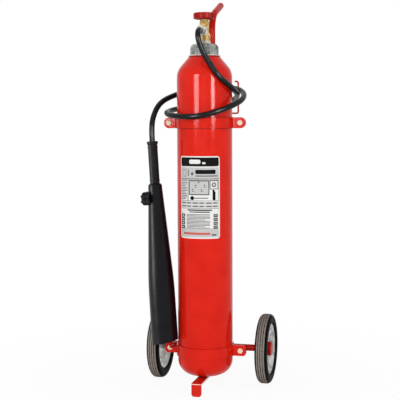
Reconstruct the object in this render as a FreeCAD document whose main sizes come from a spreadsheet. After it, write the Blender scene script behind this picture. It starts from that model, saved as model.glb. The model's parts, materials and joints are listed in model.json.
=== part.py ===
"""Wheeled carbon dioxide fire extinguisher, 10 kg class.

A steel cylinder stands on two wheels and a bent foot.  Its brass valve feeds a
rubber hose that is wound twice round the cylinder and ends in a discharge horn.

Millimetres.  +X is to the right of someone who faces the front, +Y points to the
rear and +Z up.  The origin is on the floor, under the middle of the object.
"""
import FreeCAD, Part
import math
import os
import re
import Sketcher

V = FreeCAD.Vector

# Every driving size.  The spreadsheet holds the numbers and the model reads them there.
SIZES = {
    # cylinder
    "body_r": 79.5,
    "body_wall": 5.0,
    "base_z": 38.0,
    "base_flat_r": 22.0,
    "base_rise": 10.0,
    "base_round": 45.0,
    "land_z": 956.5,
    "land_r": 46.0,
    "land_wall": 14.0,
    "cone_angle": 49.2,
    "shoulder_round": 50.0,
    "neck_r": 28.0,
    "neck_rise": 34.0,
    # neck ring, collar nut and lock ring
    "ring_r": 45.5,
    "ring_rise": 6.0,
    "ring_edge": 1.5,
    "collar_flats": 71.0,
    "collar_rise": 32.5,
    "collar_round": 13.0,
    "collar_turn": 8.0,
    "lock_r": 17.0,
    "lock_rise": 8.0,
    # valve body
    "stem_r": 12.5,
    "stem_drop": 60.0,
    "valve_flats": 31.0,
    "valve_hex_rise": 14.0,
    "valve_cone_rise": 7.0,
    "barrel_r": 13.3,
    "barrel_rise": 55.0,
    "port_r": 4.0,
    "chamber_r": 8.0,
    "seat_up": 22.0,
    "outlet_up": 27.0,
    "outlet_r": 9.0,
    "outlet_reach": 27.0,
    "burst_up": 17.0,
    "burst_r": 7.0,
    "burst_port_r": 2.0,
    "burst_reach": 25.0,
    # valve plug, spindle and gland
    "plug_r": 7.6,
    "plug_rise": 7.4,
    "seat_disc_r": 6.0,
    "seat_disc_rise": 2.0,
    "slot_depth": 5.4,
    "tang_wide": 3.0,
    "tang_reach": 5.4,
    "plug_lift": 3.0,
    "spindle_r": 4.0,
    "spindle_collar_rise": 4.0,
    "spindle_square": 5.6,
    "spindle_thread_r": 3.0,
    "packing_rise": 4.0,
    "gland_flats": 22.0,
    "gland_rise": 6.0,
    # handwheel
    "handwheel_r": 31.0,
    "handwheel_rise": 18.0,
    "handwheel_rim": 6.0,
    "handwheel_web_low": 6.0,
    "handwheel_web_high": 11.0,
    "handwheel_hub_r": 10.0,
    "handwheel_hub_rise": 13.0,
    "handwheel_round": 4.5,
    "scallop_r": 7.0,
    "scallop_depth": 2.5,
    "scallops": 8,
    "cap_nut_flats": 10.0,
    "cap_nut_rise": 5.0,
    # outlet and burst disc fittings
    "union_flats": 28.0,
    "union_start": 20.0,
    "union_end": 41.0,
    "nipple_flange": 4.0,
    "nipple_r": 6.5,
    "ferrule_r": 9.5,
    "ferrule_end": 50.0,
    "crimp": 0.8,
    "burst_nut_flats": 19.0,
    "burst_nut_start": 18.3,
    "burst_nut_end": 33.0,
    "burst_disc_thick": 0.6,
    "vent_r": 2.0,
    # dip tube
    "dip_r": 6.0,
    "dip_wall": 1.5,
    "dip_seat": 15.0,
    "dip_foot_gap": 12.0,
    # clamp bands
    "band_wide": 31.0,
    "band_thick": 4.0,
    "band_split": 1.0,
    "upper_band_z": 770.0,
    "lower_band_z": 114.0,
    "ear_bolt_out": 25.3,
    "ear_end_out": 40.9,
    "ear_corner": 9.0,
    "bolt_r": 4.0,
    "bolt_flats": 14.0,
    "bolt_head": 5.3,
    "bolt_nut": 6.5,
    "bolt_past": 3.0,
    # handle and spine tube
    "tube_r": 9.75,
    "tube_wall": 2.0,
    "handle_reach": 213.0,
    "handle_top_z": 1123.0,
    "handle_angle": 20.0,
    "handle_bend": 60.0,
    "plug_dome": 5.0,
    "plug_stub": 12.0,
    # foot
    "foot_wide": 28.5,
    "foot_thick": 5.0,
    "foot_reach": 110.0,
    "foot_tail": 25.0,
    "foot_bend": 3.0,
    "foot_corner": 8.0,
    # axle and wheels
    "wheel_r": 102.0,
    "wheel_x": 162.0,
    "axle_r": 9.7,
    "axle_end_r": 8.0,
    "washer_r": 15.0,
    "washer_thick": 2.0,
    "end_nut_flats": 24.0,
    "end_nut_thick": 5.0,
    "nut_gap": 0.4,
    "tyre_wide": 36.0,
    "tyre_round": 12.0,
    "tread_groove": 2.0,
    "tread_depth": 2.0,
    "tread_pitch": 6.5,
    "rim_seat_r": 68.0,
    "rim_lip_r": 73.0,
    "rim_half": 13.2,
    "rim_sheet": 2.0,
    "rim_flat_in_r": 35.0,
    "rim_flat_out_r": 52.0,
    "rim_boss_r": 25.0,
    "rim_boss_s": 5.0,
    "hub_r": 16.0,
    "cap_seat_r": 19.0,
    "cap_seat": 4.0,
    "cap_wall": 1.5,
    "cap_end": 17.0,
    "cap_round": 5.0,
    # hose hook and horn peg
    "hook_rod_r": 2.5,
    "hook_angle": 51.0,
    "hook_gap": 44.5,
    "hook_low_z": 797.0,
    "hook_top_z": 890.0,
    "hook_curl": 12.0,
    "peg_r": 4.0,
    "peg_in": 15.0,
    "peg_back": 4.0,
    "peg_z": 123.0,
    "peg_top_z": 169.0,
    # horn, grip and knob
    "horn_side": 25.0,
    "horn_clear": 0.7,
    "horn_z": 135.0,
    "horn_tilt": 3.4,
    "horn_mouth_r": 38.4,
    "horn_mouth_slant": 8.5,
    "horn_knee_r": 37.6,
    "horn_knee": 130.0,
    "horn_bend": 90.0,
    "horn_neck_r": 20.0,
    "horn_shoulder": 13.0,
    "horn_length": 464.0,
    "horn_wall": 2.5,
    "horn_web": 6.0,
    "horn_top_round": 9.0,
    "grip_r": 14.0,
    "grip_rise": 110.0,
    "grip_ring": 0.9,
    "grip_ring_wide": 3.0,
    "grip_collar_r": 16.0,
    "grip_collar_rise": 10.0,
    "lance_r": 5.0,
    "lance_wall": 1.2,
    "nozzle_r": 9.0,
    "nozzle_rise": 14.0,
    "jet_r": 1.6,
    "lug_x": 22.5,
    "lug_wide": 24.0,
    "lug_tall": 38.0,
    "lug_drop": 42.5,
    "lug_front": 23.0,
    "lug_back": 9.0,
    "lug_round": 7.0,
    "knob_r": 15.5,
    "knob_core_r": 10.5,
    "knob_lobe_r": 5.0,
    "knob_thick": 12.0,
    "knob_gap": 0.4,
    "knob_bolt_r": 3.0,
    "knob_boss_r": 5.0,
    # hose
    "hose_r": 8.0,
    "hose_straight": 29.0,
    # clearances
    "fit_gap": 0.1,
    "seat_gap": 0.05,
}

# Places worked out from the driving sizes.
AXIS_Y = "((foot_reach - handle_reach) / 2)"
SPINE_Y = "(body_r + band_thick + tube_r + seat_gap)"
RING_TOP = "(land_z + ring_rise)"
VALVE_Z = "(land_z + ring_rise + collar_rise + lock_rise)"
CONE_DROP = "tan(cone_angle)"
HANDWHEEL_UP = "(barrel_rise + gland_rise + 1)"
COLLAR_LOW = "(seat_up + seat_gap + seat_disc_rise + plug_rise + plug_lift + 0.6)"
EAR_FACE = "(band_split + band_thick)"
HORN_LUG_FACE = "(lug_front + knob_gap)"
HUB_END = "(rim_boss_s + fit_gap + cap_seat)"
HORN_NECK = "(horn_length - horn_shoulder)"
LUG_UP = "(horn_length - lug_drop)"
HORN_X = "(-(body_r + horn_mouth_r + horn_clear) * cos(horn_side))"
HORN_Y = "(-(body_r + horn_mouth_r + horn_clear) * sin(horn_side))"
EAR_BOLT_X = "(body_r + ear_bolt_out)"
EAR_END_X = "(body_r + ear_end_out)"

doc = FreeCAD.newDocument("extinguisher")
sheet = doc.addObject("Spreadsheet::Sheet", "Sizes")
for row, (alias, number) in enumerate(SIZES.items(), start=1):
    sheet.set("A%d" % row, alias)
    sheet.set("B%d" % row, str(number))
    sheet.setAlias("B%d" % row, alias)
doc.recompute()

nodes = []


def sized(text):
    """Point every size named in an expression at the spreadsheet."""
    def link(word):
        return "<<Sizes>>." + word.group(0) if word.group(0) in SIZES else word.group(0)
    return re.sub(r"[A-Za-z_]\w*", link, str(text))


def value(text):
    """The present value of an expression over the sizes."""
    return float(sheet.evalExpression(sized(text)))


def bind(thing, name, text):
    """Tie a property of an object to an expression over the sizes."""
    thing.setExpression(name, sized(text))


def new_body(label):
    """An empty body, which becomes the node of that name."""
    body = doc.addObject("PartDesign::Body", label)
    body.Label = label
    nodes.append(body)
    return body


def place(thing, x="0", y="0", z="0"):
    """Put an object at a point measured from the cylinder's axis at floor level."""
    bind(thing, "Placement.Base.x", x)
    bind(thing, "Placement.Base.y", AXIS_Y + " + " + str(y))
    bind(thing, "Placement.Base.z", z)
    return thing


def new_sketch(body, name, role, lift="0"):
    """A sketch on one of the body's own base planes, moved along its normal."""
    sketch = body.newObject("Sketcher::SketchObject", body.Name + "_" + name)
    base = [item for item in body.Origin.OriginFeatures if item.Role == role][0]
    sketch.AttachmentSupport = (base, [""])
    sketch.MapMode = "FlatFace"
    bind(sketch, "AttachmentOffset.Base.z", lift)
    return sketch


def outline(sketch, corners):
    """Add a closed outline whose corners are pairs of expressions."""
    points = [V(value(x), value(y), 0) for x, y in corners]
    first = sketch.GeometryCount
    count = len(points)
    for i in range(count):
        sketch.addGeometry(Part.LineSegment(points[i], points[(i + 1) % count]), False)
    for i in range(count):
        sketch.addConstraint(Sketcher.Constraint("Coincident", first + i, 2, first + (i + 1) % count, 1))
    for i in range(count):
        for kind, number, text in zip(("DistanceX", "DistanceY"), points[i], corners[i]):
            index = sketch.addConstraint(Sketcher.Constraint(kind, first + i, 1, number))
            bind(sketch, "Constraints[%d]" % index, text)
    return sketch


def ring(sketch, x, y, radius):
    """Add a circle with its centre and radius given as expressions."""
    centre = V(value(x), value(y), 0)
    index = sketch.addGeometry(Part.Circle(centre, V(0, 0, 1), value(radius)), False)
    for kind, number, text in (("DistanceX", centre.x, x), ("DistanceY", centre.y, y)):
        at = sketch.addConstraint(Sketcher.Constraint(kind, index, 3, number))
        bind(sketch, "Constraints[%d]" % at, text)
    at = sketch.addConstraint(Sketcher.Constraint("Radius", index, value(radius)))
    bind(sketch, "Constraints[%d]" % at, radius)
    return sketch


def hexagon(sketch, flats, x="0", y="0"):
    """Add a regular hexagon of the given width across its flats."""
    reach = "(%s) / sqrt(3)" % flats
    corners = []
    for turn in range(0, 360, 60):
        corners.append(("%s + %s * cos(%d)" % (x, reach, turn), "%s + %s * sin(%d)" % (y, reach, turn)))
    return outline(sketch, corners)


def spin(body, name, role, axis, corners, cut=False):
    """Revolve an outline about one of the sketch's axes, adding or cutting."""
    sketch = outline(new_sketch(body, name + "_outline", role), corners)
    kind = "PartDesign::Groove" if cut else "PartDesign::Revolution"
    feature = body.newObject(kind, body.Name + "_" + name)
    feature.Profile = sketch
    feature.ReferenceAxis = (sketch, [axis])
    feature.Angle = 360
    return feature


def pad(body, name, sketch, length, backwards=False, both_ways=False):
    """Pad a sketch by an expression."""
    feature = body.newObject("PartDesign::Pad", body.Name + "_" + name)
    feature.Profile = sketch
    bind(feature, "Length", length)
    feature.Reversed = backwards
    if both_ways:
        feature.SideType = "Symmetric"
    return feature


def drill(body, name, sketch, depth=None, backwards=False):
    """Cut a sketch to a depth, or right through both ways where no depth is given."""
    feature = body.newObject("PartDesign::Pocket", body.Name + "_" + name)
    feature.Profile = sketch
    if depth is None:
        feature.Type = "ThroughAll"
        feature.SideType = "Symmetric"
    else:
        bind(feature, "Length", depth)
        feature.Reversed = backwards
    return feature


def soften(body, name, radius, wanted):
    """Fillet the edges of the body's last feature that a test picks out."""
    doc.recompute()
    base = body.Tip
    edges = ["Edge%d" % (i + 1) for i, edge in enumerate(base.Shape.Edges) if wanted(edge)]
    if not edges:
        raise RuntimeError("no edge to soften on " + body.Label + " " + name)
    feature = body.newObject("PartDesign::Fillet", body.Name + "_" + name)
    feature.Base = (base, edges)
    bind(feature, "Radius", radius)
    return feature


def circle_edge(radius, height=None, axis="z"):
    """A test for full circles of a radius, at a height along an axis where one is given."""
    wanted_radius = value(radius)
    wanted_height = None if height is None else value(height)

    def test(edge):
        if not isinstance(edge.Curve, Part.Circle) or abs(edge.Curve.Radius - wanted_radius) > 0.01:
            return False
        return wanted_height is None or abs(getattr(edge.Curve.Center, axis) - wanted_height) < 0.01
    return test


def edge_at(spots, tolerance=0.05):
    """A test for edges whose middle point matches given coordinates; None matches any."""
    wanted_spots = [[None if text is None else value(text) for text in spot] for spot in spots]

    def test(edge):
        middle = edge.valueAt((edge.FirstParameter + edge.LastParameter) / 2)
        for spot in wanted_spots:
            if all(want is None or abs(have - want) < tolerance for have, want in zip(middle, spot)):
                return True
        return False
    return test


def rod_shape(points, rod_radius, bend=None, share=0.45):
    """A round rod along straight runs joined by tangent arcs.

    A bend radius is used at every corner where one is given.  Otherwise each arc takes
    a share of its shorter run.  Gives the solid, the path's length and the arc radii.
    """
    edges = []
    radii = []
    reached = points[0]
    for before, corner, after in zip(points, points[1:], points[2:]):
        arriving = corner - before
        leaving = after - corner
        half_turn = arriving.getAngle(leaving) / 2
        if bend is None:
            setback = share * min(arriving.Length, leaving.Length)
        else:
            setback = bend * math.tan(half_turn)
        radius = setback / math.tan(half_turn)
        arriving.normalize()
        leaving.normalize()
        inward = (leaving - arriving).normalize()
        start = corner - arriving * setback
        end = corner + leaving * setback
        middle = corner + inward * (radius / math.cos(half_turn) - radius)
        edges.append(Part.LineSegment(reached, start).toShape())
        edges.append(Part.Arc(start, middle, end).toShape())
        radii.append(radius)
        reached = end
    edges.append(Part.LineSegment(reached, points[-1]).toShape())
    path = Part.Wire(edges)
    section = Part.Wire(Part.Circle(points[0], points[1] - points[0], rod_radius).toShape())
    return path.makePipeShell([section], True, False), path.Length, radii


def add_shape(label, shape):
    """A node whose shape is made here, placed from the cylinder's axis."""
    feature = doc.addObject("Part::Feature", label)
    feature.Label = label
    feature.Shape = shape
    feature.Placement = FreeCAD.Placement(V(0, value(AXIS_Y), 0), FreeCAD.Rotation())
    nodes.append(feature)
    return feature


# ---------------------------------------------------------------- cylinder and neck

def make_cylinder():
    """Drawn steel cylinder with a dished base, a rounded shoulder and a bored neck."""
    body = place(new_body("cylinder"))
    corner_z = "(land_z - (body_r - land_r) * %s)" % CONE_DROP
    spin(body, "shell", "XZ_Plane", "V_Axis", [
        ("0", "base_z"),
        ("base_flat_r", "base_z"),
        ("body_r", "base_z + base_rise"),
        ("body_r", corner_z),
        ("land_r", "land_z"),
        ("neck_r", "land_z"),
        ("neck_r", "land_z + neck_rise"),
        ("0", "land_z + neck_rise"),
    ])
    inner_r = "(body_r - body_wall)"
    slope_drop = "(body_wall / cos(cone_angle))"
    ceiling = "(land_z - land_wall)"
    inner_corner = "(%s + body_wall * (%s) - %s)" % (corner_z, CONE_DROP, slope_drop)
    ceiling_r = "(land_r + (land_wall - %s) / %s)" % (slope_drop, CONE_DROP)
    spin(body, "hollow", "XZ_Plane", "V_Axis", [
        ("0", "base_z + body_wall"),
        ("base_flat_r", "base_z + body_wall"),
        (inner_r, "base_z + base_rise + body_wall"),
        (inner_r, inner_corner),
        (ceiling_r, ceiling),
        ("stem_r + fit_gap", ceiling),
        ("stem_r + fit_gap", "land_z + neck_rise + 1"),
        ("0", "land_z + neck_rise + 1"),
    ], cut=True)
    inner_edge = circle_edge(inner_r, "base_z + base_rise + body_wall")
    soften(body, "inner_base", "base_round - body_wall", inner_edge)
    soften(body, "inner_shoulder", "shoulder_round - body_wall", circle_edge(inner_r, inner_corner))
    soften(body, "base", "base_round", circle_edge("body_r", "base_z + base_rise"))
    soften(body, "shoulder", "shoulder_round", circle_edge("body_r", corner_z))


def make_neck_ring():
    """Thick steel ring that sits on the land round the neck."""
    body = place(new_body("neck_ring"), z="land_z")
    spin(body, "ring", "XZ_Plane", "V_Axis", [
        ("neck_r + fit_gap", "0"),
        ("ring_r", "0"),
        ("ring_r", "ring_rise - ring_edge"),
        ("ring_r - ring_edge", "ring_rise"),
        ("neck_r + fit_gap", "ring_rise"),
    ])


def make_collar_nut():
    """Large hexagonal collar nut over the neck, rounded at its top edge."""
    body = place(new_body("neck_collar_nut"), z=RING_TOP)
    body.Placement.Rotation = FreeCAD.Rotation(V(0, 0, 1), value("collar_turn"))
    pad(body, "hex", hexagon(new_sketch(body, "hex_outline", "XY_Plane"), "collar_flats"), "collar_rise")
    top = value("collar_rise")
    doc.recompute()
    soften(body, "corners", "2", lambda edge: edge.BoundBox.ZLength > top / 2)
    soften(body, "crown", "collar_round", lambda edge: edge.BoundBox.ZMin > top - 0.1)
    lip = "(neck_rise - ring_rise + fit_gap)"
    spin(body, "bore", "XZ_Plane", "V_Axis", [
        ("0", "-1"),
        ("neck_r + fit_gap", "-1"),
        ("neck_r + fit_gap", lip),
        ("stem_r + fit_gap", lip),
        ("stem_r + fit_gap", "collar_rise + 1"),
        ("0", "collar_rise + 1"),
    ], cut=True)


def make_lock_ring():
    """Plated ring between the collar nut and the valve."""
    body = place(new_body("valve_lock_ring"), z=VALVE_Z + " - lock_rise")
    spin(body, "ring", "XZ_Plane", "V_Axis", [
        ("stem_r + fit_gap", "0"),
        ("lock_r + 1.5", "0"),
        ("lock_r + 1.5", "lock_rise / 3"),
        ("lock_r", "lock_rise / 2"),
        ("lock_r", "lock_rise"),
        ("stem_r + fit_gap", "lock_rise"),
    ])


def make_dip_tube():
    """Tube that reaches from the valve stem almost to the base."""
    body = place(new_body("dip_tube"))
    low = "(base_z + body_wall + dip_foot_gap)"
    high = "(%s - stem_drop + dip_seat)" % VALVE_Z
    spin(body, "tube", "XZ_Plane", "V_Axis", [
        ("dip_r - dip_wall", low),
        ("dip_r", low),
        ("dip_r", high),
        ("dip_r - dip_wall", high),
    ])


# ---------------------------------------------------------------- valve

def make_valve_body():
    """Brass valve body with its stem, chamber, outlet boss and burst disc boss."""
    body = place(new_body("valve_body"), z=VALVE_Z)
    shoulder_r = "(valve_flats / 2)"
    spin(body, "barrel", "XZ_Plane", "V_Axis", [
        ("0", "-stem_drop"),
        ("stem_r", "-stem_drop"),
        ("stem_r", "0"),
        (shoulder_r, "0"),
        (shoulder_r, "valve_hex_rise"),
        ("barrel_r", "valve_hex_rise + valve_cone_rise"),
        ("barrel_r", "barrel_rise"),
        ("0", "barrel_rise"),
    ])
    pad(body, "hex", hexagon(new_sketch(body, "hex_outline", "XY_Plane"), "valve_flats"), "valve_hex_rise")
    front = ring(new_sketch(body, "outlet_outline", "XZ_Plane"), "0", "outlet_up", "outlet_r")
    pad(body, "outlet", front, "outlet_reach")
    rear = ring(new_sketch(body, "burst_outline", "XZ_Plane"), "0", "burst_up", "burst_r")
    pad(body, "burst", rear, "burst_reach", backwards=True)
    spin(body, "bores", "XZ_Plane", "V_Axis", [
        ("0", "-stem_drop - 1"),
        ("dip_r + fit_gap", "-stem_drop - 1"),
        ("dip_r + fit_gap", "-stem_drop + dip_seat"),
        ("port_r", "-stem_drop + dip_seat"),
        ("port_r", "seat_up"),
        ("chamber_r", "seat_up"),
        ("chamber_r", "barrel_rise + 1"),
        ("0", "barrel_rise + 1"),
    ], cut=True)
    front_port = ring(new_sketch(body, "outlet_port", "XZ_Plane"), "0", "outlet_up", "port_r")
    drill(body, "outlet_bore", front_port, "outlet_reach + 1", backwards=True)
    rear_port = ring(new_sketch(body, "burst_port", "XZ_Plane"), "0", "burst_up", "burst_port_r")
    drill(body, "burst_bore", rear_port, "burst_reach + 1")


def make_gland():
    """Gland nut that closes the chamber, and the packing ring under it."""
    nut = place(new_body("gland_nut"), z=VALVE_Z)
    packing_top = "(%s + spindle_collar_rise + packing_rise)" % COLLAR_LOW
    spin(nut, "skirt", "XZ_Plane", "V_Axis", [
        ("0", packing_top),
        ("chamber_r - fit_gap", packing_top),
        ("chamber_r - fit_gap", "barrel_rise + gland_rise / 2"),
        ("0", "barrel_rise + gland_rise / 2"),
    ])
    head = hexagon(new_sketch(nut, "head_outline", "XY_Plane", "barrel_rise"), "gland_flats")
    pad(nut, "head", head, "gland_rise")
    spin(nut, "bore", "XZ_Plane", "V_Axis", [
        ("0", "%s - 1" % packing_top),
        ("spindle_r + fit_gap", "%s - 1" % packing_top),
        ("spindle_r + fit_gap", "barrel_rise + gland_rise + 1"),
        ("0", "barrel_rise + gland_rise + 1"),
    ], cut=True)
    packing = place(new_body("gland_packing"), z=VALVE_Z)
    spin(packing, "ring", "XZ_Plane", "V_Axis", [
        ("spindle_r + fit_gap", packing_top + " - packing_rise"),
        ("chamber_r - fit_gap", packing_top + " - packing_rise"),
        ("chamber_r - fit_gap", packing_top),
        ("spindle_r + fit_gap", packing_top),
    ])


def make_spindle():
    """Spindle with a collar held under the packing, a driving tang and a squared top."""
    body = place(new_body("spindle"), z=VALVE_Z)
    top = "(%s + handwheel_hub_rise)" % HANDWHEEL_UP
    spin(body, "round", "XZ_Plane", "V_Axis", [
        ("0", COLLAR_LOW),
        ("plug_r", COLLAR_LOW),
        ("plug_r", COLLAR_LOW + " + spindle_collar_rise - seat_gap"),
        ("spindle_r", COLLAR_LOW + " + spindle_collar_rise - seat_gap"),
        ("spindle_r", HANDWHEEL_UP),
        ("spindle_thread_r - 0.5", HANDWHEEL_UP),
        ("spindle_thread_r - 0.5", top),
        ("spindle_thread_r", top),
        ("spindle_thread_r", top + " + cap_nut_rise - 0.5"),
        ("0", top + " + cap_nut_rise - 0.5"),
    ])
    half = "(spindle_square / 2)"
    square = outline(new_sketch(body, "square_outline", "XY_Plane", HANDWHEEL_UP), [
        ("-" + half, "-" + half),
        (half, "-" + half),
        (half, half),
        ("-" + half, half),
    ])
    pad(body, "square", square, "handwheel_hub_rise")
    tang = outline(new_sketch(body, "tang_outline", "XY_Plane", COLLAR_LOW), [
        ("-tang_wide / 2", "-tang_reach"),
        ("tang_wide / 2", "-tang_reach"),
        ("tang_wide / 2", "tang_reach"),
        ("-tang_wide / 2", "tang_reach"),
    ])
    pad(body, "tang", tang, "slot_depth", backwards=True)


def make_plug():
    """Valve plug with a slot for the tang, and the seat disc let into its lower face."""
    seat_low = "(seat_up + seat_gap)"
    plug_low = "(%s + seat_disc_rise)" % seat_low
    plug = place(new_body("valve_plug"), z=VALVE_Z)
    spin(plug, "round", "XZ_Plane", "V_Axis", [
        ("0", plug_low),
        ("plug_r", plug_low),
        ("plug_r", plug_low + " + plug_rise"),
        ("0", plug_low + " + plug_rise"),
    ])
    slot_half = "(tang_wide / 2 + fit_gap)"
    slot = outline(new_sketch(plug, "slot_outline", "XY_Plane", plug_low + " + plug_rise"), [
        ("-" + slot_half, "-plug_r - 1"),
        (slot_half, "-plug_r - 1"),
        (slot_half, "plug_r + 1"),
        ("-" + slot_half, "plug_r + 1"),
    ])
    drill(plug, "slot", slot, "slot_depth")
    disc = place(new_body("plug_seat"), z=VALVE_Z)
    spin(disc, "round", "XZ_Plane", "V_Axis", [
        ("0", seat_low),
        ("seat_disc_r", seat_low),
        ("seat_disc_r", plug_low),
        ("0", plug_low),
    ])


def make_handwheel():
    """Moulded handwheel with a dished web and a scalloped rim, and its nut."""
    body = place(new_body("handwheel"), z="%s + %s" % (VALVE_Z, HANDWHEEL_UP))
    rim_in = "(handwheel_r - handwheel_rim)"
    spin(body, "wheel", "XZ_Plane", "V_Axis", [
        ("0", "0"),
        ("handwheel_hub_r", "0"),
        ("handwheel_hub_r + 2", "handwheel_web_low"),
        (rim_in + " - 2", "handwheel_web_low"),
        (rim_in, "0"),
        ("handwheel_r", "0"),
        ("handwheel_r", "handwheel_rise"),
        (rim_in, "handwheel_rise"),
        (rim_in + " - 3", "handwheel_web_high"),
        ("handwheel_hub_r + 1", "handwheel_web_high"),
        ("handwheel_hub_r", "handwheel_hub_rise"),
        ("0", "handwheel_hub_rise"),
    ])
    soften(body, "low_edge", "handwheel_round - 1", circle_edge("handwheel_r", "0"))
    soften(body, "high_edge", "handwheel_round", circle_edge("handwheel_r", "handwheel_rise"))
    bite_x = "handwheel_r + scallop_r - scallop_depth"
    bite = ring(new_sketch(body, "scallop_outline", "XY_Plane"), bite_x, "0", "scallop_r")
    scallop = drill(body, "scallop", bite)
    pattern = body.newObject("PartDesign::PolarPattern", "handwheel_scallops")
    pattern.Originals = [scallop]
    pattern.Axis = (bite, ["N_Axis"])
    pattern.Angle = 360
    bind(pattern, "Occurrences", "scallops")
    body.Tip = pattern
    half = "(spindle_square / 2 + fit_gap)"
    square = outline(new_sketch(body, "square_outline", "XY_Plane"), [
        ("-" + half, "-" + half),
        (half, "-" + half),
        (half, half),
        ("-" + half, half),
    ])
    drill(body, "square", square)
    nut = place(new_body("handwheel_nut"), z="%s + %s + handwheel_hub_rise" % (VALVE_Z, HANDWHEEL_UP))
    pad(nut, "hex", hexagon(new_sketch(nut, "hex_outline", "XY_Plane"), "cap_nut_flats"), "cap_nut_rise")
    bore = ring(new_sketch(nut, "bore_outline", "XY_Plane"), "0", "0", "spindle_thread_r + fit_gap")
    drill(nut, "bore", bore)


def make_outlet():
    """Nipple, union nut and crimped ferrule that carry the hose at the valve."""
    height = "%s + outlet_up" % VALVE_Z
    nipple = place(new_body("outlet_nipple"), z=height)
    spin(nipple, "round", "YZ_Plane", "H_Axis", [
        ("-outlet_reach", "port_r"),
        ("-outlet_reach", "outlet_r"),
        ("-outlet_reach - nipple_flange", "outlet_r"),
        ("-outlet_reach - nipple_flange", "nipple_r"),
        ("-ferrule_end", "nipple_r"),
        ("-ferrule_end", "port_r"),
    ])
    union = place(new_body("outlet_union_nut"), z=height)
    flats = hexagon(new_sketch(union, "hex_outline", "XZ_Plane", "union_start"), "union_flats")
    pad(union, "hex", flats, "union_end - union_start")
    flange_end = "(-outlet_reach - nipple_flange - seat_gap)"
    spin(union, "bore", "YZ_Plane", "H_Axis", [
        ("-union_start + 1", "0"),
        ("-union_start + 1", "outlet_r + fit_gap"),
        (flange_end, "outlet_r + fit_gap"),
        (flange_end, "nipple_r + fit_gap"),
        ("-union_end - 1", "nipple_r + fit_gap"),
        ("-union_end - 1", "0"),
    ], cut=True)
    middle = "(-(union_end + ferrule_end) / 2)"
    ferrule = place(new_body("hose_ferrule"), z=height)
    spin(ferrule, "round", "YZ_Plane", "H_Axis", [
        ("-union_end", "nipple_r + fit_gap"),
        ("-union_end", "ferrule_r"),
        (middle + " + 2", "ferrule_r"),
        (middle + " + 1", "ferrule_r - crimp"),
        (middle + " - 1", "ferrule_r - crimp"),
        (middle + " - 2", "ferrule_r"),
        ("-ferrule_end", "ferrule_r"),
        ("-ferrule_end", "nipple_r + fit_gap"),
    ])


def make_burst_disc():
    """Burst disc and the vented nut that clamps it on the rear boss."""
    height = "%s + burst_up" % VALVE_Z
    disc = place(new_body("burst_disc"), z=height)
    spin(disc, "round", "YZ_Plane", "H_Axis", [
        ("burst_reach", "0"),
        ("burst_reach + burst_disc_thick", "0"),
        ("burst_reach + burst_disc_thick", "burst_r"),
        ("burst_reach", "burst_r"),
    ])
    nut = place(new_body("burst_disc_nut"), z=height)
    flats = hexagon(new_sketch(nut, "hex_outline", "XZ_Plane", "-burst_nut_start"), "burst_nut_flats")
    pad(nut, "hex", flats, "burst_nut_end - burst_nut_start", backwards=True)
    spin(nut, "bore", "YZ_Plane", "H_Axis", [
        ("burst_nut_start - 1", "0"),
        ("burst_nut_end + 1", "0"),
        ("burst_nut_end + 1", "vent_r"),
        ("burst_reach + burst_disc_thick", "vent_r"),
        ("burst_reach + burst_disc_thick", "burst_r + fit_gap"),
        ("burst_nut_start - 1", "burst_r + fit_gap"),
    ], cut=True)


# ---------------------------------------------------------------- bands, bolts and frame

def make_band(label, height, front, corner):
    """Half of a clamp band: a half ring with a flat ear at each side, rounded at its end."""
    body = place(new_body(label), z="%s - band_wide / 2" % height)
    outer = ring(new_sketch(body, "ring_outline", "XY_Plane"), "0", "0", "body_r + band_thick")
    pad(body, "ring", outer, "band_wide")
    side = "-" if front else ""
    near = side + "band_split"
    far = side + EAR_FACE
    ears = outline(new_sketch(body, "ear_outline", "XY_Plane"), [
        ("-" + EAR_END_X, near),
        (EAR_END_X, near),
        (EAR_END_X, far),
        ("-" + EAR_END_X, far),
    ])
    pad(body, "ears", ears, "band_wide")
    hollow = ring(new_sketch(body, "hollow_outline", "XY_Plane"), "0", "0", "body_r + seat_gap")
    drill(body, "hollow", hollow)
    away = ("2 * body_r" if front else "-2 * body_r")
    half = outline(new_sketch(body, "split_outline", "XY_Plane"), [
        ("-2 * body_r", near),
        ("2 * body_r", near),
        ("2 * body_r", away),
        ("-2 * body_r", away),
    ])
    drill(body, "split", half)
    end = value(EAR_END_X)
    soften(body, "ear_ends", corner,
           lambda edge: edge.BoundBox.XLength < 0.01 and edge.BoundBox.ZLength < 0.01
           and abs(abs(edge.BoundBox.XMin) - end) < 0.01)
    holes = new_sketch(body, "hole_outline", "XZ_Plane")
    for x in ("-" + EAR_BOLT_X, EAR_BOLT_X):
        ring(holes, x, "band_wide / 2", "bolt_r + fit_gap")
    drill(body, "holes", holes)


def make_bolt(label, x, height):
    """Hexagon bolt from the front through both ears."""
    body = place(new_body(label), x=x, z=height)
    head = hexagon(new_sketch(body, "head_outline", "XZ_Plane", EAR_FACE), "bolt_flats")
    pad(body, "head", head, "bolt_head")
    rear = "(%s + bolt_nut + bolt_past)" % EAR_FACE
    spin(body, "shank", "YZ_Plane", "H_Axis", [
        ("-%s - bolt_head / 2" % EAR_FACE, "0"),
        (rear, "0"),
        (rear, "bolt_r - 1"),
        (rear + " - 1", "bolt_r"),
        ("-%s - bolt_head / 2" % EAR_FACE, "bolt_r"),
    ])
    head_end = "(-%s - bolt_head)" % EAR_FACE
    corner_r = "(bolt_flats / sqrt(3))"
    spin(body, "crown", "YZ_Plane", "H_Axis", [
        (head_end + " - 1", "bolt_flats / 2"),
        (head_end, "bolt_flats / 2"),
        (head_end + " + 1", corner_r),
        (head_end + " + 1", corner_r + " + 2"),
        (head_end + " - 1", corner_r + " + 2"),
    ], cut=True)


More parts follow.
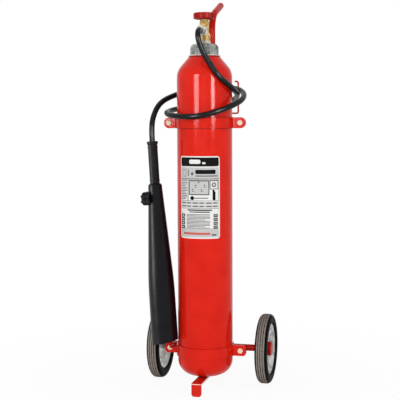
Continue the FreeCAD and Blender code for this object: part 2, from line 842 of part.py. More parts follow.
def make_bolt_nut(label, x, height):
    """Nut behind the rear ear."""
    body = place(new_body(label), x=x, z=height)
    flats = hexagon(new_sketch(body, "hex_outline", "XZ_Plane", "-" + EAR_FACE), "bolt_flats")
    pad(body, "hex", flats, "bolt_nut", backwards=True)
    drill(body, "bore", ring(new_sketch(body, "bore_outline", "XZ_Plane"), "0", "0", "bolt_r + fit_gap"))


def make_handle():
    """Tube that runs up the rear as a spine and bends back into the handle."""
    plug_end_r = "(tube_r - plug_dome + 0.5)"
    end_y = "(handle_reach - plug_dome * cos(handle_angle) - %s * sin(handle_angle))" % plug_end_r
    slant = "((%s - %s) / cos(handle_angle))" % (end_y, SPINE_Y)
    corner_z = "(handle_top_z - %s * sin(handle_angle))" % slant
    half_turn = "((90 - handle_angle) / 2)"
    setback = "(handle_bend * tan(%s))" % half_turn
    body = place(new_body("handle_tube"), y=SPINE_Y)
    path = new_sketch(body, "path", "YZ_Plane")
    low = "(wheel_r + axle_r / 2)"
    start = V(0, value(low), 0)
    bend_low = V(0, value("%s - %s" % (corner_z, setback)), 0)
    centre = V(value("handle_bend"), bend_low.y, 0)
    bend_end = (setback + " * cos(handle_angle)", "%s + %s * sin(handle_angle)" % (corner_z, setback))
    bend_high = V(value(bend_end[0]), value(bend_end[1]), 0)
    tip = (slant + " * cos(handle_angle)", "handle_top_z")
    end = V(value(tip[0]), value(tip[1]), 0)
    path.addGeometry(Part.LineSegment(start, bend_low), False)
    path.addGeometry(Part.Arc(bend_high, centre + V(-1, 0, 0) * value("handle_bend * cos(%s)" % half_turn)
                              + V(0, 1, 0) * value("handle_bend * sin(%s)" % half_turn), bend_low), False)
    path.addGeometry(Part.LineSegment(bend_high, end), False)
    path.addConstraint(Sketcher.Constraint("Coincident", 0, 2, 1, 2))
    path.addConstraint(Sketcher.Constraint("Coincident", 1, 1, 2, 1))
    fixed = [
        ("DistanceX", 0, 1, "0"),
        ("DistanceY", 0, 1, low),
        ("DistanceX", 0, 2, "0"),
        ("DistanceY", 0, 2, "%s - %s" % (corner_z, setback)),
        ("DistanceX", 2, 1, bend_end[0]),
        ("DistanceY", 2, 1, bend_end[1]),
        ("DistanceX", 2, 2, tip[0]),
        ("DistanceY", 2, 2, tip[1]),
        ("DistanceX", 1, 3, "handle_bend"),
    ]
    for kind, item, spot, text in fixed:
        index = path.addConstraint(Sketcher.Constraint(kind, item, spot, value(text)))
        bind(path, "Constraints[%d]" % index, text)
    section = new_sketch(body, "section", "XY_Plane", low)
    ring(section, "0", "0", "tube_r")
    ring(section, "0", "0", "tube_r - tube_wall")
    pipe = body.newObject("PartDesign::AdditivePipe", "handle_pipe")
    pipe.Profile = section
    pipe.Spine = (path, [])
    cope = ring(new_sketch(body, "cope_outline", "YZ_Plane"), "0", "wheel_r", "axle_r + seat_gap")
    drill(body, "cope", cope)

    plug = new_body("handle_plug")
    place(plug, y=end_y, z="handle_top_z")
    plug.Placement.Rotation = FreeCAD.Rotation(V(1, 0, 0), value("handle_angle"))
    spin(plug, "round", "YZ_Plane", "H_Axis", [
        ("-plug_stub", "0"),
        ("plug_dome", "0"),
        ("plug_dome", plug_end_r),
        ("plug_dome / 2", "tube_r - 0.8"),
        ("0", "tube_r"),
        ("0", "tube_r - tube_wall - fit_gap"),
        ("-plug_stub", "tube_r - tube_wall - fit_gap"),
    ])


def make_foot():
    """Flat bar under the base, bent down to the floor at the front."""
    body = place(new_body("foot"))
    side = outline(new_sketch(body, "side_outline", "YZ_Plane"), [
        ("foot_tail", "base_z"),
        ("foot_tail", "base_z - foot_thick"),
        ("-foot_reach + foot_thick", "base_z - foot_thick"),
        ("-foot_reach + foot_thick", "0"),
        ("-foot_reach", "0"),
        ("-foot_reach", "base_z"),
    ])
    pad(body, "bar", side, "foot_wide", both_ways=True)
    soften(body, "bend", "foot_bend", edge_at([("0", "-foot_reach", "base_z")]))
    soften(body, "corners", "foot_corner", edge_at([
        ("-foot_wide / 2", "-foot_reach + foot_thick / 2", "0"),
        ("foot_wide / 2", "-foot_reach + foot_thick / 2", "0"),
    ]))


def make_hook():
    """Bent rod on the rear half band that keeps the hose coil from falling."""
    direction = V(value("cos(hook_angle)"), value("sin(hook_angle)"), 0)
    weld_r = value("body_r + band_thick + hook_rod_r")
    out_r = value("body_r + hook_gap")
    low_z = value("hook_low_z")
    top_z = value("hook_top_z")
    points = [
        direction * weld_r + V(0, 0, value("upper_band_z - band_wide / 2")),
        direction * weld_r + V(0, 0, low_z),
        direction * out_r + V(0, 0, low_z),
        direction * out_r + V(0, 0, top_z),
        direction * (out_r - value("hook_curl")) + V(0, 0, top_z),
    ]
    add_shape("hose_hook", rod_shape(points, value("hook_rod_r"), bend=value("2 * hook_rod_r + 1"))[0])


def make_peg():
    """Bent pin on the lower left ear that stands inside the mouth of the horn."""
    x = value(HORN_X + " + peg_in")
    y = value(HORN_Y + " + peg_back")
    points = [
        V(x, -value(EAR_FACE), value("peg_z")),
        V(x, y, value("peg_z")),
        V(x, y, value("peg_top_z")),
    ]
    add_shape("horn_peg", rod_shape(points, value("peg_r"), bend=value("2 * peg_r"))[0])


# ---------------------------------------------------------------- axle and wheels

def make_axle():
    """Axle with thinner ends, lying against the lower end of the spine."""
    body = place(new_body("axle"), y=SPINE_Y, z="wheel_r")
    shoulder = "(wheel_x - tyre_wide / 2 - washer_thick - 1)"
    end = "(wheel_x + %s + nut_gap + end_nut_thick + 0.6)" % HUB_END
    spin(body, "bar", "XZ_Plane", "H_Axis", [
        ("-" + end, "0"),
        (end, "0"),
        (end, "axle_end_r"),
        (shoulder, "axle_end_r"),
        (shoulder, "axle_r"),
        ("-" + shoulder, "axle_r"),
        ("-" + shoulder, "axle_end_r"),
        ("-" + end, "axle_end_r"),
    ])


def wheel_part(label, side):
    """A body at a wheel's centre; its +X points outward on either side."""
    body = place(new_body(label), x="%d * wheel_x" % side, y=SPINE_Y, z="wheel_r")
    if side < 0:
        body.Placement.Rotation = FreeCAD.Rotation(V(0, 0, 1), 180)
    return body


def make_wheel(side, name):
    """Solid tyre on two pressed discs, with a hub, a hub cap and the axle's fastenings."""
    tyre = wheel_part("tyre_" + name, side)
    half = "(tyre_wide / 2)"
    bead = "(rim_half - rim_sheet - fit_gap)"
    bead_out = "(rim_half + 1.3)"
    spin(tyre, "ring", "XZ_Plane", "H_Axis", [
        ("-" + bead, "rim_seat_r + fit_gap"),
        (bead, "rim_seat_r + fit_gap"),
        (bead, "rim_lip_r + fit_gap"),
        (bead_out, "rim_lip_r + fit_gap"),
        (half, "rim_lip_r + 7"),
        (half, "wheel_r"),
        ("-" + half, "wheel_r"),
        ("-" + half, "rim_lip_r + 7"),
        ("-" + bead_out, "rim_lip_r + fit_gap"),
        ("-" + bead, "rim_lip_r + fit_gap"),
    ])
    soften(tyre, "shoulders", "tyre_round", circle_edge("wheel_r"))
    for number, shift in enumerate(("-tread_pitch", "0", "tread_pitch")):
        spin(tyre, "groove_%d" % number, "XZ_Plane", "H_Axis", [
            (shift + " - tread_groove / 2", "wheel_r - tread_depth"),
            (shift + " + tread_groove / 2", "wheel_r - tread_depth"),
            (shift + " + tread_groove / 2", "wheel_r + 1"),
            (shift + " - tread_groove / 2", "wheel_r + 1"),
        ], cut=True)

    for disc, hand in (("rim_outer_", ""), ("rim_inner_", "-")):
        rim = wheel_part(disc + name, side)
        bend_s = "(rim_sheet + seat_gap)"
        corners = [
            ("rim_boss_s", "hub_r + seat_gap"),
            ("rim_boss_s", "rim_boss_r"),
            (bend_s, "rim_flat_in_r"),
            (bend_s, "rim_flat_out_r"),
            ("rim_half", "rim_flat_out_r + rim_half - rim_sheet"),
            ("rim_half", "rim_lip_r"),
            ("rim_half - rim_sheet", "rim_lip_r"),
            ("rim_half - rim_sheet", "rim_seat_r"),
            ("seat_gap", "rim_seat_r"),
            ("seat_gap", "rim_seat_r - rim_sheet"),
            ("rim_half - rim_sheet", "rim_seat_r - rim_sheet"),
            ("rim_half - rim_sheet", "rim_flat_out_r + rim_half"),
            ("seat_gap", "rim_flat_out_r + 1.2"),
            ("seat_gap", "rim_flat_in_r - 1"),
            ("rim_boss_s - rim_sheet", "rim_boss_r - 1"),
            ("rim_boss_s - rim_sheet", "hub_r + seat_gap"),
        ]
        spin(rim, "disc", "XZ_Plane", "H_Axis", [("%s(%s)" % (hand, s), r) for s, r in corners])

    hub = wheel_part("hub_" + name, side)
    spin(hub, "tube", "XZ_Plane", "H_Axis", [
        ("-%s - 0.5" % half, "axle_end_r + fit_gap"),
        (HUB_END, "axle_end_r + fit_gap"),
        (HUB_END, "cap_seat_r"),
        ("rim_boss_s + fit_gap", "cap_seat_r"),
        ("rim_boss_s + fit_gap", "hub_r"),
        ("-%s - 0.5" % half, "hub_r"),
    ])

    cap = wheel_part("hub_cap_" + name, side)
    spin(cap, "cup", "XZ_Plane", "H_Axis", [
        ("rim_boss_s + fit_gap", "cap_seat_r + seat_gap"),
        ("rim_boss_s + fit_gap", "cap_seat_r + seat_gap + cap_wall"),
        ("cap_end", "cap_seat_r + seat_gap + cap_wall"),
        ("cap_end", "0"),
        ("cap_end - cap_wall", "0"),
        ("cap_end - cap_wall", "cap_seat_r + seat_gap - 3"),
        ("cap_end - cap_wall - 3", "cap_seat_r + seat_gap"),
    ])
    soften(cap, "edge", "cap_round", circle_edge("cap_seat_r + seat_gap + cap_wall", "cap_end", axis="x"))

    washer = wheel_part("axle_washer_" + name, side)
    spin(washer, "ring", "XZ_Plane", "H_Axis", [
        ("-%s - 1 - washer_thick" % half, "axle_end_r + fit_gap"),
        ("-%s - 1 - washer_thick" % half, "washer_r"),
        ("-%s - 1" % half, "washer_r"),
        ("-%s - 1" % half, "axle_end_r + fit_gap"),
    ])
    nut = wheel_part("axle_nut_" + name, side)
    start = "(%s + nut_gap)" % HUB_END
    flats = hexagon(new_sketch(nut, "hex_outline", "YZ_Plane", start), "end_nut_flats")
    pad(nut, "hex", flats, "end_nut_thick")
    drill(nut, "bore", ring(new_sketch(nut, "bore_outline", "YZ_Plane"), "0", "0", "axle_end_r + fit_gap"))


# ---------------------------------------------------------------- horn

def horn_part(label):
    """A body on the horn's axis, which leans a little outward; z = 0 is the mouth."""
    body = place(new_body(label), x=HORN_X, y=HORN_Y, z="horn_z")
    body.Placement.Rotation = FreeCAD.Rotation(V(0, 1, 0), -value("horn_tilt"))
    return body


def horn_knee(inset):
    """Corners along the parabola by which the straight mouth passes into the cone."""
    slope = "((horn_knee_r - horn_neck_r) / (%s - horn_knee - horn_bend / 2))" % HORN_NECK
    steps = 5
    return [("horn_knee_r - %s - %s * horn_bend / 2 * %f" % (inset, slope, (step / steps) ** 2),
             "horn_knee + horn_bend * %f" % (step / steps)) for step in range(steps + 1)]


def make_horn():
    """Moulded discharge horn with a lug for the clamping knob."""
    horn = horn_part("horn")
    spin(horn, "outside", "XZ_Plane", "V_Axis", [
        ("0", "0"),
        ("horn_mouth_r", "0"),
    ] + horn_knee("0") + [
        ("horn_neck_r", HORN_NECK),
        ("horn_neck_r", "horn_length"),
        ("0", "horn_length"),
    ])
    soften(horn, "top", "horn_top_round", circle_edge("horn_neck_r", "horn_length"))
    low = "(%s - lug_tall / 2)" % LUG_UP
    lug = outline(new_sketch(horn, "lug_outline", "XZ_Plane", "-lug_back"), [
        ("-lug_x - lug_wide / 2", low),
        ("-lug_x + lug_wide / 2", low),
        ("-lug_x + lug_wide / 2", low + " + lug_tall"),
        ("-lug_x - lug_wide / 2", low + " + lug_tall"),
    ])
    pad(horn, "lug", lug, "lug_front + lug_back")
    left = value("-lug_x - lug_wide / 2")
    soften(horn, "lug_corners", "lug_round",
           lambda edge: edge.BoundBox.XLength < 0.01 and edge.BoundBox.ZLength < 0.01
           and abs(edge.BoundBox.XMin - left) < 0.01)
    spin(horn, "inside", "XZ_Plane", "V_Axis", [
        ("0", "-1"),
        ("horn_mouth_r - horn_wall", "-1"),
    ] + horn_knee("horn_wall") + [
        ("horn_neck_r - horn_wall", HORN_NECK + " - horn_web"),
        ("horn_neck_r - horn_wall", "horn_length - horn_web"),
        ("lance_r + fit_gap", "horn_length - horn_web"),
        ("lance_r + fit_gap", "horn_length + 1"),
        ("0", "horn_length + 1"),
    ], cut=True)
    reach = "(horn_mouth_r + 2)"
    slant = outline(new_sketch(horn, "slant_outline", "XZ_Plane"), [
        ("-" + reach, "-2"),
        (reach, "-2"),
        (reach, "(%s + horn_mouth_r) * tan(horn_mouth_slant)" % reach),
        ("-horn_mouth_r", "0"),
        ("-" + reach, "0"),
    ])
    drill(horn, "slant", slant)
    hole = ring(new_sketch(horn, "lug_hole", "XZ_Plane"), "-lug_x", LUG_UP, "knob_bolt_r + fit_gap")
    drill(horn, "lug_bore", hole)


def make_grip():
    """Rubber grip on the lance, with a flared collar where the hose goes in."""
    grip = horn_part("grip")
    low = "horn_length"
    high = "(horn_length + grip_rise)"
    proud = "grip_r + grip_ring"
    spin(grip, "sleeve", "XZ_Plane", "V_Axis", [
        ("lance_r + fit_gap", low),
        ("grip_r", low),
        ("grip_r", low + " + 2 * grip_ring_wide"),
        (proud, low + " + 2 * grip_ring_wide"),
        (proud, low + " + 3 * grip_ring_wide"),
        ("grip_r", low + " + 3 * grip_ring_wide"),
        ("grip_r", high + " - 3 * grip_ring_wide"),
        (proud, high + " - 3 * grip_ring_wide"),
        (proud, high + " - 2 * grip_ring_wide"),
        ("grip_r", high + " - 2 * grip_ring_wide"),
        ("grip_r", high),
        ("lance_r + fit_gap", high),
    ])
    collar = horn_part("grip_collar")
    spin(collar, "flare", "XZ_Plane", "V_Axis", [
        ("lance_r + fit_gap", high),
        ("grip_r", high),
        ("grip_collar_r", high + " + grip_collar_rise / 3"),
        ("grip_collar_r", high + " + grip_collar_rise - 2"),
        ("grip_collar_r - 2", high + " + grip_collar_rise"),
        ("lance_r + fit_gap", high + " + grip_collar_rise"),
    ])
    lance = horn_part("lance_tube")
    bottom = "(horn_length - horn_web - nozzle_rise / 2)"
    spin(lance, "tube", "XZ_Plane", "V_Axis", [
        ("lance_r - lance_wall", bottom),
        ("lance_r", bottom),
        ("lance_r", high + " + grip_collar_rise"),
        ("lance_r - lance_wall", high + " + grip_collar_rise"),
    ])


def make_nozzle():
    """Brass nozzle under the horn's web, with a ring of angled-out jets."""
    body = horn_part("nozzle")
    top = "(horn_length - horn_web)"
    spin(body, "block", "XZ_Plane", "V_Axis", [
        ("0", top + " - nozzle_rise"),
        ("nozzle_r - 2", top + " - nozzle_rise"),
        ("nozzle_r", top + " - nozzle_rise + 2"),
        ("nozzle_r", top),
        ("0", top),
    ])
    spin(body, "socket", "XZ_Plane", "V_Axis", [
        ("0", top + " - nozzle_rise / 2 - 2"),
        ("lance_r - lance_wall", top + " - nozzle_rise / 2 - 2"),
        ("lance_r - lance_wall", top + " - nozzle_rise / 2"),
        ("lance_r + fit_gap", top + " - nozzle_rise / 2"),
        ("lance_r + fit_gap", top + " + 1"),
        ("0", top + " + 1"),
    ], cut=True)
    jets = new_sketch(body, "jet_outline", "XZ_Plane")
    ring(jets, "0", top + " - nozzle_rise / 2 - 2", "jet_r")
    drill(body, "jets", jets)


def make_knob():
    """Star knob with four lobes on a screw through the horn's lug."""
    face = HORN_LUG_FACE
    knob = horn_part("star_knob")
    core = ring(new_sketch(knob, "core_outline", "XZ_Plane", face), "-lug_x", LUG_UP, "knob_core_r")
    pad(knob, "core", core, "knob_thick")
    reach = "(knob_r - knob_lobe_r)"
    lobes = 4
    for number in range(lobes):
        turn = 360 / lobes * (number + 0.5)
        x = "-lug_x + %s * cos(%d)" % (reach, turn)
        z = "%s + %s * sin(%d)" % (LUG_UP, reach, turn)
        lobe = ring(new_sketch(knob, "lobe_%d_outline" % number, "XZ_Plane", face), x, z, "knob_lobe_r")
        pad(knob, "lobe_%d" % number, lobe, "knob_thick - 1")
    bore = ring(new_sketch(knob, "bore_outline", "XZ_Plane"), "-lug_x", LUG_UP, "knob_bolt_r + seat_gap")
    drill(knob, "bore", bore)
    recess = new_sketch(knob, "recess_outline", "XZ_Plane", face + " + knob_thick")
    ring(recess, "-lug_x", LUG_UP, "knob_boss_r + seat_gap")
    drill(knob, "recess", recess, "knob_thick / 3")
    screw = horn_part("knob_screw")
    shank = new_sketch(screw, "shank_outline", "XZ_Plane", "-lug_back - 2")
    ring(shank, "-lug_x", LUG_UP, "knob_bolt_r")
    pad(screw, "shank", shank, "lug_back + 2 + %s + knob_thick - 1" % face)
    boss = new_sketch(screw, "boss_outline", "XZ_Plane", face + " + knob_thick * 2 / 3")
    ring(boss, "-lug_x", LUG_UP, "knob_boss_r")
    pad(screw, "boss", boss, "knob_thick / 3 + 0.6")


# ---------------------------------------------------------------- hose

# Bends of the hose in order: how far out from the cylinder's side, the angle round it, and the
# height, which is measured from the outlet, from the upper band and from the top of the grip.
VALVE_BENDS = [
    (-17.5, -90.0, 0),
    (-4.5, -89.2, -3.5),
    (4.5, -88.6, -14),
    (6.6, -87.3, -28),
    (3.0, -83.7, -46),
    (1.6, -76.8, -70),
]
COIL_BENDS = [
    (3.6, -64.1, 162),
    (14.5, -49.8, 126),
    (15.4, -23.6, 101),
    (15.7, 3.6, 84),
    (19.3, 31.8, 72),
    (29.3, 60.8, 63),
    (42.6, 87.7, 56),
    (41.6, 112.3, 50),
    (32.4, 138.6, 44),
    (27.7, 166.0, 37),
    (32.3, 192.9, 30),
    (30.1, 218.3, 22),
    (23.5, 245.9, 18),
    (22.8, 274.5, 18),
    (22.6, 302.6, 31),
    (27.2, 329.6, 47),
    (34.7, 356.5, 65),
    (37.1, 382.2, 86),
    (31.1, 409.4, 101),
    (43.9, 438.8, 102),
    (45.7, 464.8, 97),
    (38.3, 490.2, 91),
    (33.3, 515.9, 81),
]
HORN_BENDS = [
    (54.5, 540.9, 111),
    (69.9, 554.7, 68),
]


def hose_bends(bends, height):
    """The points of some of the hose's bends, whose heights start from the given one."""
    side = value("body_r")
    points = []
    for out, angle, rise in bends:
        turned = math.radians(angle)
        points.append(V((side + out) * math.cos(turned), (side + out) * math.sin(turned), height + rise))
    return points


def make_hose():
    """Rubber hose from the valve, twice round the cylinder and down to the grip."""
    outlet_z = value("%s + outlet_up" % VALVE_Z)
    tilt = math.radians(value("horn_tilt"))
    up = V(-math.sin(tilt), 0, math.cos(tilt))
    mouth = V(value(HORN_X), value(HORN_Y), value("horn_z"))
    grip_top = mouth + up * value("horn_length + grip_rise + grip_collar_rise")
    points = [V(0, -value("ferrule_end"), outlet_z)]
    points += hose_bends(VALVE_BENDS, outlet_z)
    points += hose_bends(COIL_BENDS, value("upper_band_z"))
    points += hose_bends(HORN_BENDS, grip_top.z)
    points += [grip_top + up * value("hose_straight"), grip_top + up * value("seat_gap")]
    shape, length, radii = rod_shape(points, value("hose_r"))
    print("hose length", round(length, 1), "radii", [round(radius) for radius in radii])
    section = math.pi * value("hose_r") ** 2
    print("hose volume ratio", round(shape.Volume / (section * length), 5))
    add_shape("discharge_hose", shape)


def main():
    make_cylinder()
    make_neck_ring()
    make_collar_nut()
    make_lock_ring()
    make_dip_tube()
    make_valve_body()
    make_gland()
    make_spindle()
    make_plug()
    make_handwheel()
    make_outlet()
    make_burst_disc()
    for level, corner in (("upper", "band_wide / 2 - 0.2"), ("lower", "ear_corner")):
        height = level + "_band_z"
        make_band(level + "_band_front", height, True, corner)
        make_band(level + "_band_rear", height, False, corner)
        for side, x in (("left", "-" + EAR_BOLT_X), ("right", EAR_BOLT_X)):
            make_bolt("band_bolt_%s_%s" % (level, side), x, height)
            make_bolt_nut("band_nut_%s_%s" % (level, side), x, height)
    make_handle()
    make_foot()
    make_hook()
    make_peg()
    make_axle()
    make_wheel(-1, "left")
    make_wheel(1, "right")
    make_horn()
    make_grip()
    make_nozzle()
    make_knob()
    make_hose()
    doc.recompute()
    for item in doc.Objects:
        if "Invalid" in item.State or "Error" in item.State:
            raise RuntimeError("failed object: " + item.Name)
    os.makedirs("parts", exist_ok=True)
    for node in nodes:
        if node.Shape.isNull() or not node.Shape.isValid():
            raise RuntimeError("bad shape: " + node.Label)
        node.Shape.exportStep("parts/%s.step" % node.Label)
    print("nodes", len(nodes))


main()
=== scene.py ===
"""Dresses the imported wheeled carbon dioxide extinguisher: enamel, plating, rubber, label and hose."""
import json
import math
import bmesh
import bpy
from mathutils import Matrix, Vector

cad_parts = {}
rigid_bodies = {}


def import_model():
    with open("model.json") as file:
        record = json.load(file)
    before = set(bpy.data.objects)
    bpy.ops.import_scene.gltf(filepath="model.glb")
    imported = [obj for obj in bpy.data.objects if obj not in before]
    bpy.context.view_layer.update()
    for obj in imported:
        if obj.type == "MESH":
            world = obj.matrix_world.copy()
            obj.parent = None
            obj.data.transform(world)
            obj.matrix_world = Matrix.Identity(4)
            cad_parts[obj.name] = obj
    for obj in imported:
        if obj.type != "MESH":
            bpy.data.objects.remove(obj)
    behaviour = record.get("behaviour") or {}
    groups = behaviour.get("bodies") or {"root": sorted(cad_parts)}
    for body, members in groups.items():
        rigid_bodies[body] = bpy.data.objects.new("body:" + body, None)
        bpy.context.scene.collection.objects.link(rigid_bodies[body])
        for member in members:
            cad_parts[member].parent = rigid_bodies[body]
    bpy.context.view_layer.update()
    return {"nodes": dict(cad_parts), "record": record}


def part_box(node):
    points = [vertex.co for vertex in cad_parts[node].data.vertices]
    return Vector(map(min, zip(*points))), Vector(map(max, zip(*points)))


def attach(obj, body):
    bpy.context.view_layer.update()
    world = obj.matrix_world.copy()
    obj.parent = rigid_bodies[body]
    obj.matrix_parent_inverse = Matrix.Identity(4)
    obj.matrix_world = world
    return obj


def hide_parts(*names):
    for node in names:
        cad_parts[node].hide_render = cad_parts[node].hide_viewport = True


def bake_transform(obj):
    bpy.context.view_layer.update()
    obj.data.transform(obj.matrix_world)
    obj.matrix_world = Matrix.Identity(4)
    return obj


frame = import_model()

MM = 0.001
scene = bpy.context.scene


def middle_of(name):
    """The middle of a node's box."""
    low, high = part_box(name)
    return (low + high) / 2


# Places read from the frame, in metres. The bands and the outlet are given by their heights.
BODY_LOW, BODY_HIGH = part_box("cylinder")
BODY_R = (BODY_HIGH.x - BODY_LOW.x) / 2
AXIS = Vector((0, (BODY_LOW.y + BODY_HIGH.y) / 2, 0))
UPPER_BAND = middle_of("upper_band_front").z
LOWER_BAND = middle_of("lower_band_front").z
OUTLET = middle_of("hose_ferrule").z
AXLE = middle_of("axle")
WHEELS = {"left": middle_of("tyre_left"), "right": middle_of("tyre_right")}


# ------------------------------------------------------------ mesh and piece helpers
def put_object(name, data):
    """Link an object, standing at the origin, that shows a mesh, a curve, a lamp or a camera."""
    thing = bpy.data.objects.new(name, data)
    scene.collection.objects.link(thing)
    return thing


def put_piece(name, bm, body, materials, smooth=True):
    """Turn a bmesh into a piece that rides on a body and wears the given materials."""
    mesh = bpy.data.meshes.new(name)
    for face in bm.faces:
        face.smooth = smooth
    bm.to_mesh(mesh)
    bm.free()
    if smooth:
        mesh.set_sharp_from_angle(angle=math.radians(32))
    for material in materials:
        mesh.materials.append(material)
    piece = put_object(name, mesh)
    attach(piece, body)
    return piece


def round_profile(bm, centre, axis, profile, segments=32):
    """Spin a profile of (distance along the axis, radius) points round an axis."""
    turn = Vector((0, 0, 1)).rotation_difference(axis)
    points = [bm.verts.new(centre + turn @ Vector((radius, 0, along))) for along, radius in profile]
    edges = [bm.edges.new(pair) for pair in zip(points, points[1:])]
    bmesh.ops.spin(bm, geom=points + edges, cent=centre, axis=axis, angle=math.tau, steps=segments,
                   use_merge=True, use_duplicate=False)
    bmesh.ops.remove_doubles(bm, verts=bm.verts[:], dist=1e-6)
    bmesh.ops.recalc_face_normals(bm, faces=bm.faces[:])


# ------------------------------------------------------------ camera
def make_camera():
    """A long lens level with the upper half of the object, a little to its right."""
    distance, height, turn = 2.98, 0.7935, math.radians(14)
    heading = turn + math.radians(0.27)
    drop, lean = math.radians(3.72), math.radians(-0.24)
    data = bpy.data.cameras.new("camera")
    data.sensor_width, data.lens, data.shift_y = 36, 93.3, -0.045
    data.clip_start, data.clip_end = 0.05, 60
    camera = put_object("camera", data)
    camera.location = AXIS + Vector((distance * math.sin(turn), -distance * math.cos(turn), height))
    look = Vector((-math.sin(heading) * math.cos(drop), math.cos(heading) * math.cos(drop),
                   -math.sin(drop)))
    turned = look.to_track_quat("-Z", "Y") @ Matrix.Rotation(lean, 3, "Z").to_quaternion()
    camera.rotation_euler = turned.to_euler()
    scene.camera = camera


# ------------------------------------------------------------ hose
# How far out from the cylinder's side, the angle round it and the height of each bend, which
# is measured from the outlet, from the upper band and from the top of the grip.
VALVE_BENDS = [
    (-0.0175, -90.0, 0),
    (-0.0045, -89.2, -0.0035),
    (0.0045, -88.6, -0.014),
    (0.0066, -87.3, -0.028),
    (0.0030, -83.7, -0.046),
    (0.0016, -76.8, -0.070),
]
COIL_BENDS = [
    (0.0036, -64.1, 0.162),
    (0.0145, -49.8, 0.126),
    (0.0154, -23.6, 0.101),
    (0.0157, 3.6, 0.084),
    (0.0193, 31.8, 0.072),
    (0.0293, 60.8, 0.063),
    (0.0426, 87.7, 0.056),
    (0.0416, 112.3, 0.050),
    (0.0324, 138.6, 0.044),
    (0.0277, 166.0, 0.037),
    (0.0323, 192.9, 0.030),
    (0.0301, 218.3, 0.022),
    (0.0235, 245.9, 0.018),
    (0.0228, 274.5, 0.018),
    (0.0226, 302.6, 0.031),
    (0.0272, 329.6, 0.047),
    (0.0347, 356.5, 0.065),
    (0.0371, 382.2, 0.086),
    (0.0311, 409.4, 0.101),
    (0.0439, 438.8, 0.102),
    (0.0457, 464.8, 0.097),
    (0.0383, 490.2, 0.091),
    (0.0333, 515.9, 0.081),
]
HORN_BENDS = [
    (0.0545, 540.9, 0.111),
    (0.0699, 554.7, 0.068),
]
HOSE_D = 0.016


def hose_bends(bends, height):
    """The points of some of the hose's bends, whose heights start from the given one."""
    points = []
    for out, angle, rise in bends:
        turned, reach = math.radians(angle), BODY_R + out
        points.append(AXIS + Vector((reach * math.cos(turned), reach * math.sin(turned), height + rise)))
    return points


def smooth_tube(points):
    """A tube along a smooth line near the given points, as a mesh and the line that it follows."""
    curve = bpy.data.curves.new("discharge_hose_line", "CURVE")
    curve.dimensions = "3D"
    spline = curve.splines.new("NURBS")
    spline.points.add(len(points) - 1)
    for target, spot in zip(spline.points, points):
        target.co = (*spot, 1)
    spline.order_u = 3
    spline.use_endpoint_u = True
    spline.resolution_u = 8
    line = put_object("discharge_hose_line", curve)
    bpy.context.view_layer.update()
    path = [vertex.co.copy() for vertex in bpy.data.meshes.new_from_object(line).vertices]
    curve.bevel_depth = HOSE_D / 2
    curve.bevel_resolution = 6
    curve.use_fill_caps = True
    bpy.context.view_layer.update()
    tube = bpy.data.meshes.new_from_object(line.evaluated_get(bpy.context.evaluated_depsgraph_get()))
    bpy.data.objects.remove(line)
    return tube, path


def make_hose(material):
    """The discharge hose as a smooth tube along its own spline, from the valve to the grip."""
    start = Vector((0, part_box("hose_ferrule")[0].y, OUTLET))
    # The lance leans with the horn, and the hose runs straight out of it for a stretch.
    lean, straight, lance_r = math.radians(3.4), 0.029, 0.005
    up = Vector((-math.sin(lean), 0, math.cos(lean)))
    lance_low, lance_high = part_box("lance_tube")
    end = Vector((lance_low.x + lance_r * up.z, (lance_low.y + lance_high.y) / 2,
                  lance_high.z + lance_r * up.x))
    points = [start] + hose_bends(VALVE_BENDS, OUTLET) + hose_bends(COIL_BENDS, UPPER_BAND)
    points += hose_bends(HORN_BENDS, end.z) + [end + up * straight, end]
    tube, path = smooth_tube(points)
    for face in tube.polygons:
        face.use_smooth = True
    tube.materials.clear()
    tube.materials.append(material)
    hose = put_object("rubber_hose", tube)
    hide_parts("discharge_hose")
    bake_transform(hose)


# ------------------------------------------------------------ light
# Each lamp: its bearing from the front in degrees, its distance from the cylinder's axis, its
# height, the height that it is turned to, its width and its height in metres, and its watts.
FILLS = {
    "left": (-62, 2.7, 1.2, 0.6, 1.2, 2.0, 12),
    "right": (80, 2.8, 1.2, 0.6, 1.2, 2.0, 13),
    "front": (10, 3.4, 1.3, 0.5, 1.8, 1.8, 63),
    "top": (30, 0.7, 3.0, 0.6, 2.0, 2.0, 5),
    "rear": (190, 2.9, 1.9, 0.6, 2.0, 2.0, 9),
}
PAINT_AND_HOSE = ("shell", "frame_red", "red_nylon", "hose")
PANELS = {
    "panel_left": ((-19, 2.2, 1.2, 1.2, 0.72, 0.88, 56), PAINT_AND_HOSE),
    "panel_right": ((48, 2.2, 1.2, 1.2, 0.54, 0.88, 64), PAINT_AND_HOSE),
    "panel_side": ((-54, 2.4, 0.8, 0.55, 0.9, 1.8, 74), ("horn", "knob", "grip")),
}


def add_lamp(name, turn, distance, height, aim, width, tall, power):
    """A soft lamp at a bearing from the front, turned towards a height on the cylinder's axis."""
    data = bpy.data.lights.new(name, "AREA")
    data.shape, data.size, data.size_y, data.energy = "RECTANGLE", width, tall, power
    lamp = put_object(name, data)
    bearing = math.radians(turn)
    lamp.location = AXIS + Vector((distance * math.sin(bearing), -distance * math.cos(bearing), height))
    look = AXIS + Vector((0, 0, aim)) - lamp.location
    lamp.rotation_euler = look.to_track_quat("-Z", "Y").to_euler()
    return lamp


def light_scene(finish):
    """Fills that stay out of reflections, and tall panels that show only as sheen on some finishes."""
    for name, place in FILLS.items():
        add_lamp(name, *place).visible_glossy = False
    for name, (place, looks) in PANELS.items():
        lamp = add_lamp(name, *place)
        lamp.visible_diffuse = False
        shown = [finish[look] for look in looks]
        taking = bpy.data.collections.new(name + "_takers")
        for piece in scene.objects:
            if piece.type == "MESH" and piece.data.materials[0] in shown:
                taking.objects.link(piece)
        lamp.light_linking.receiver_collection = taking


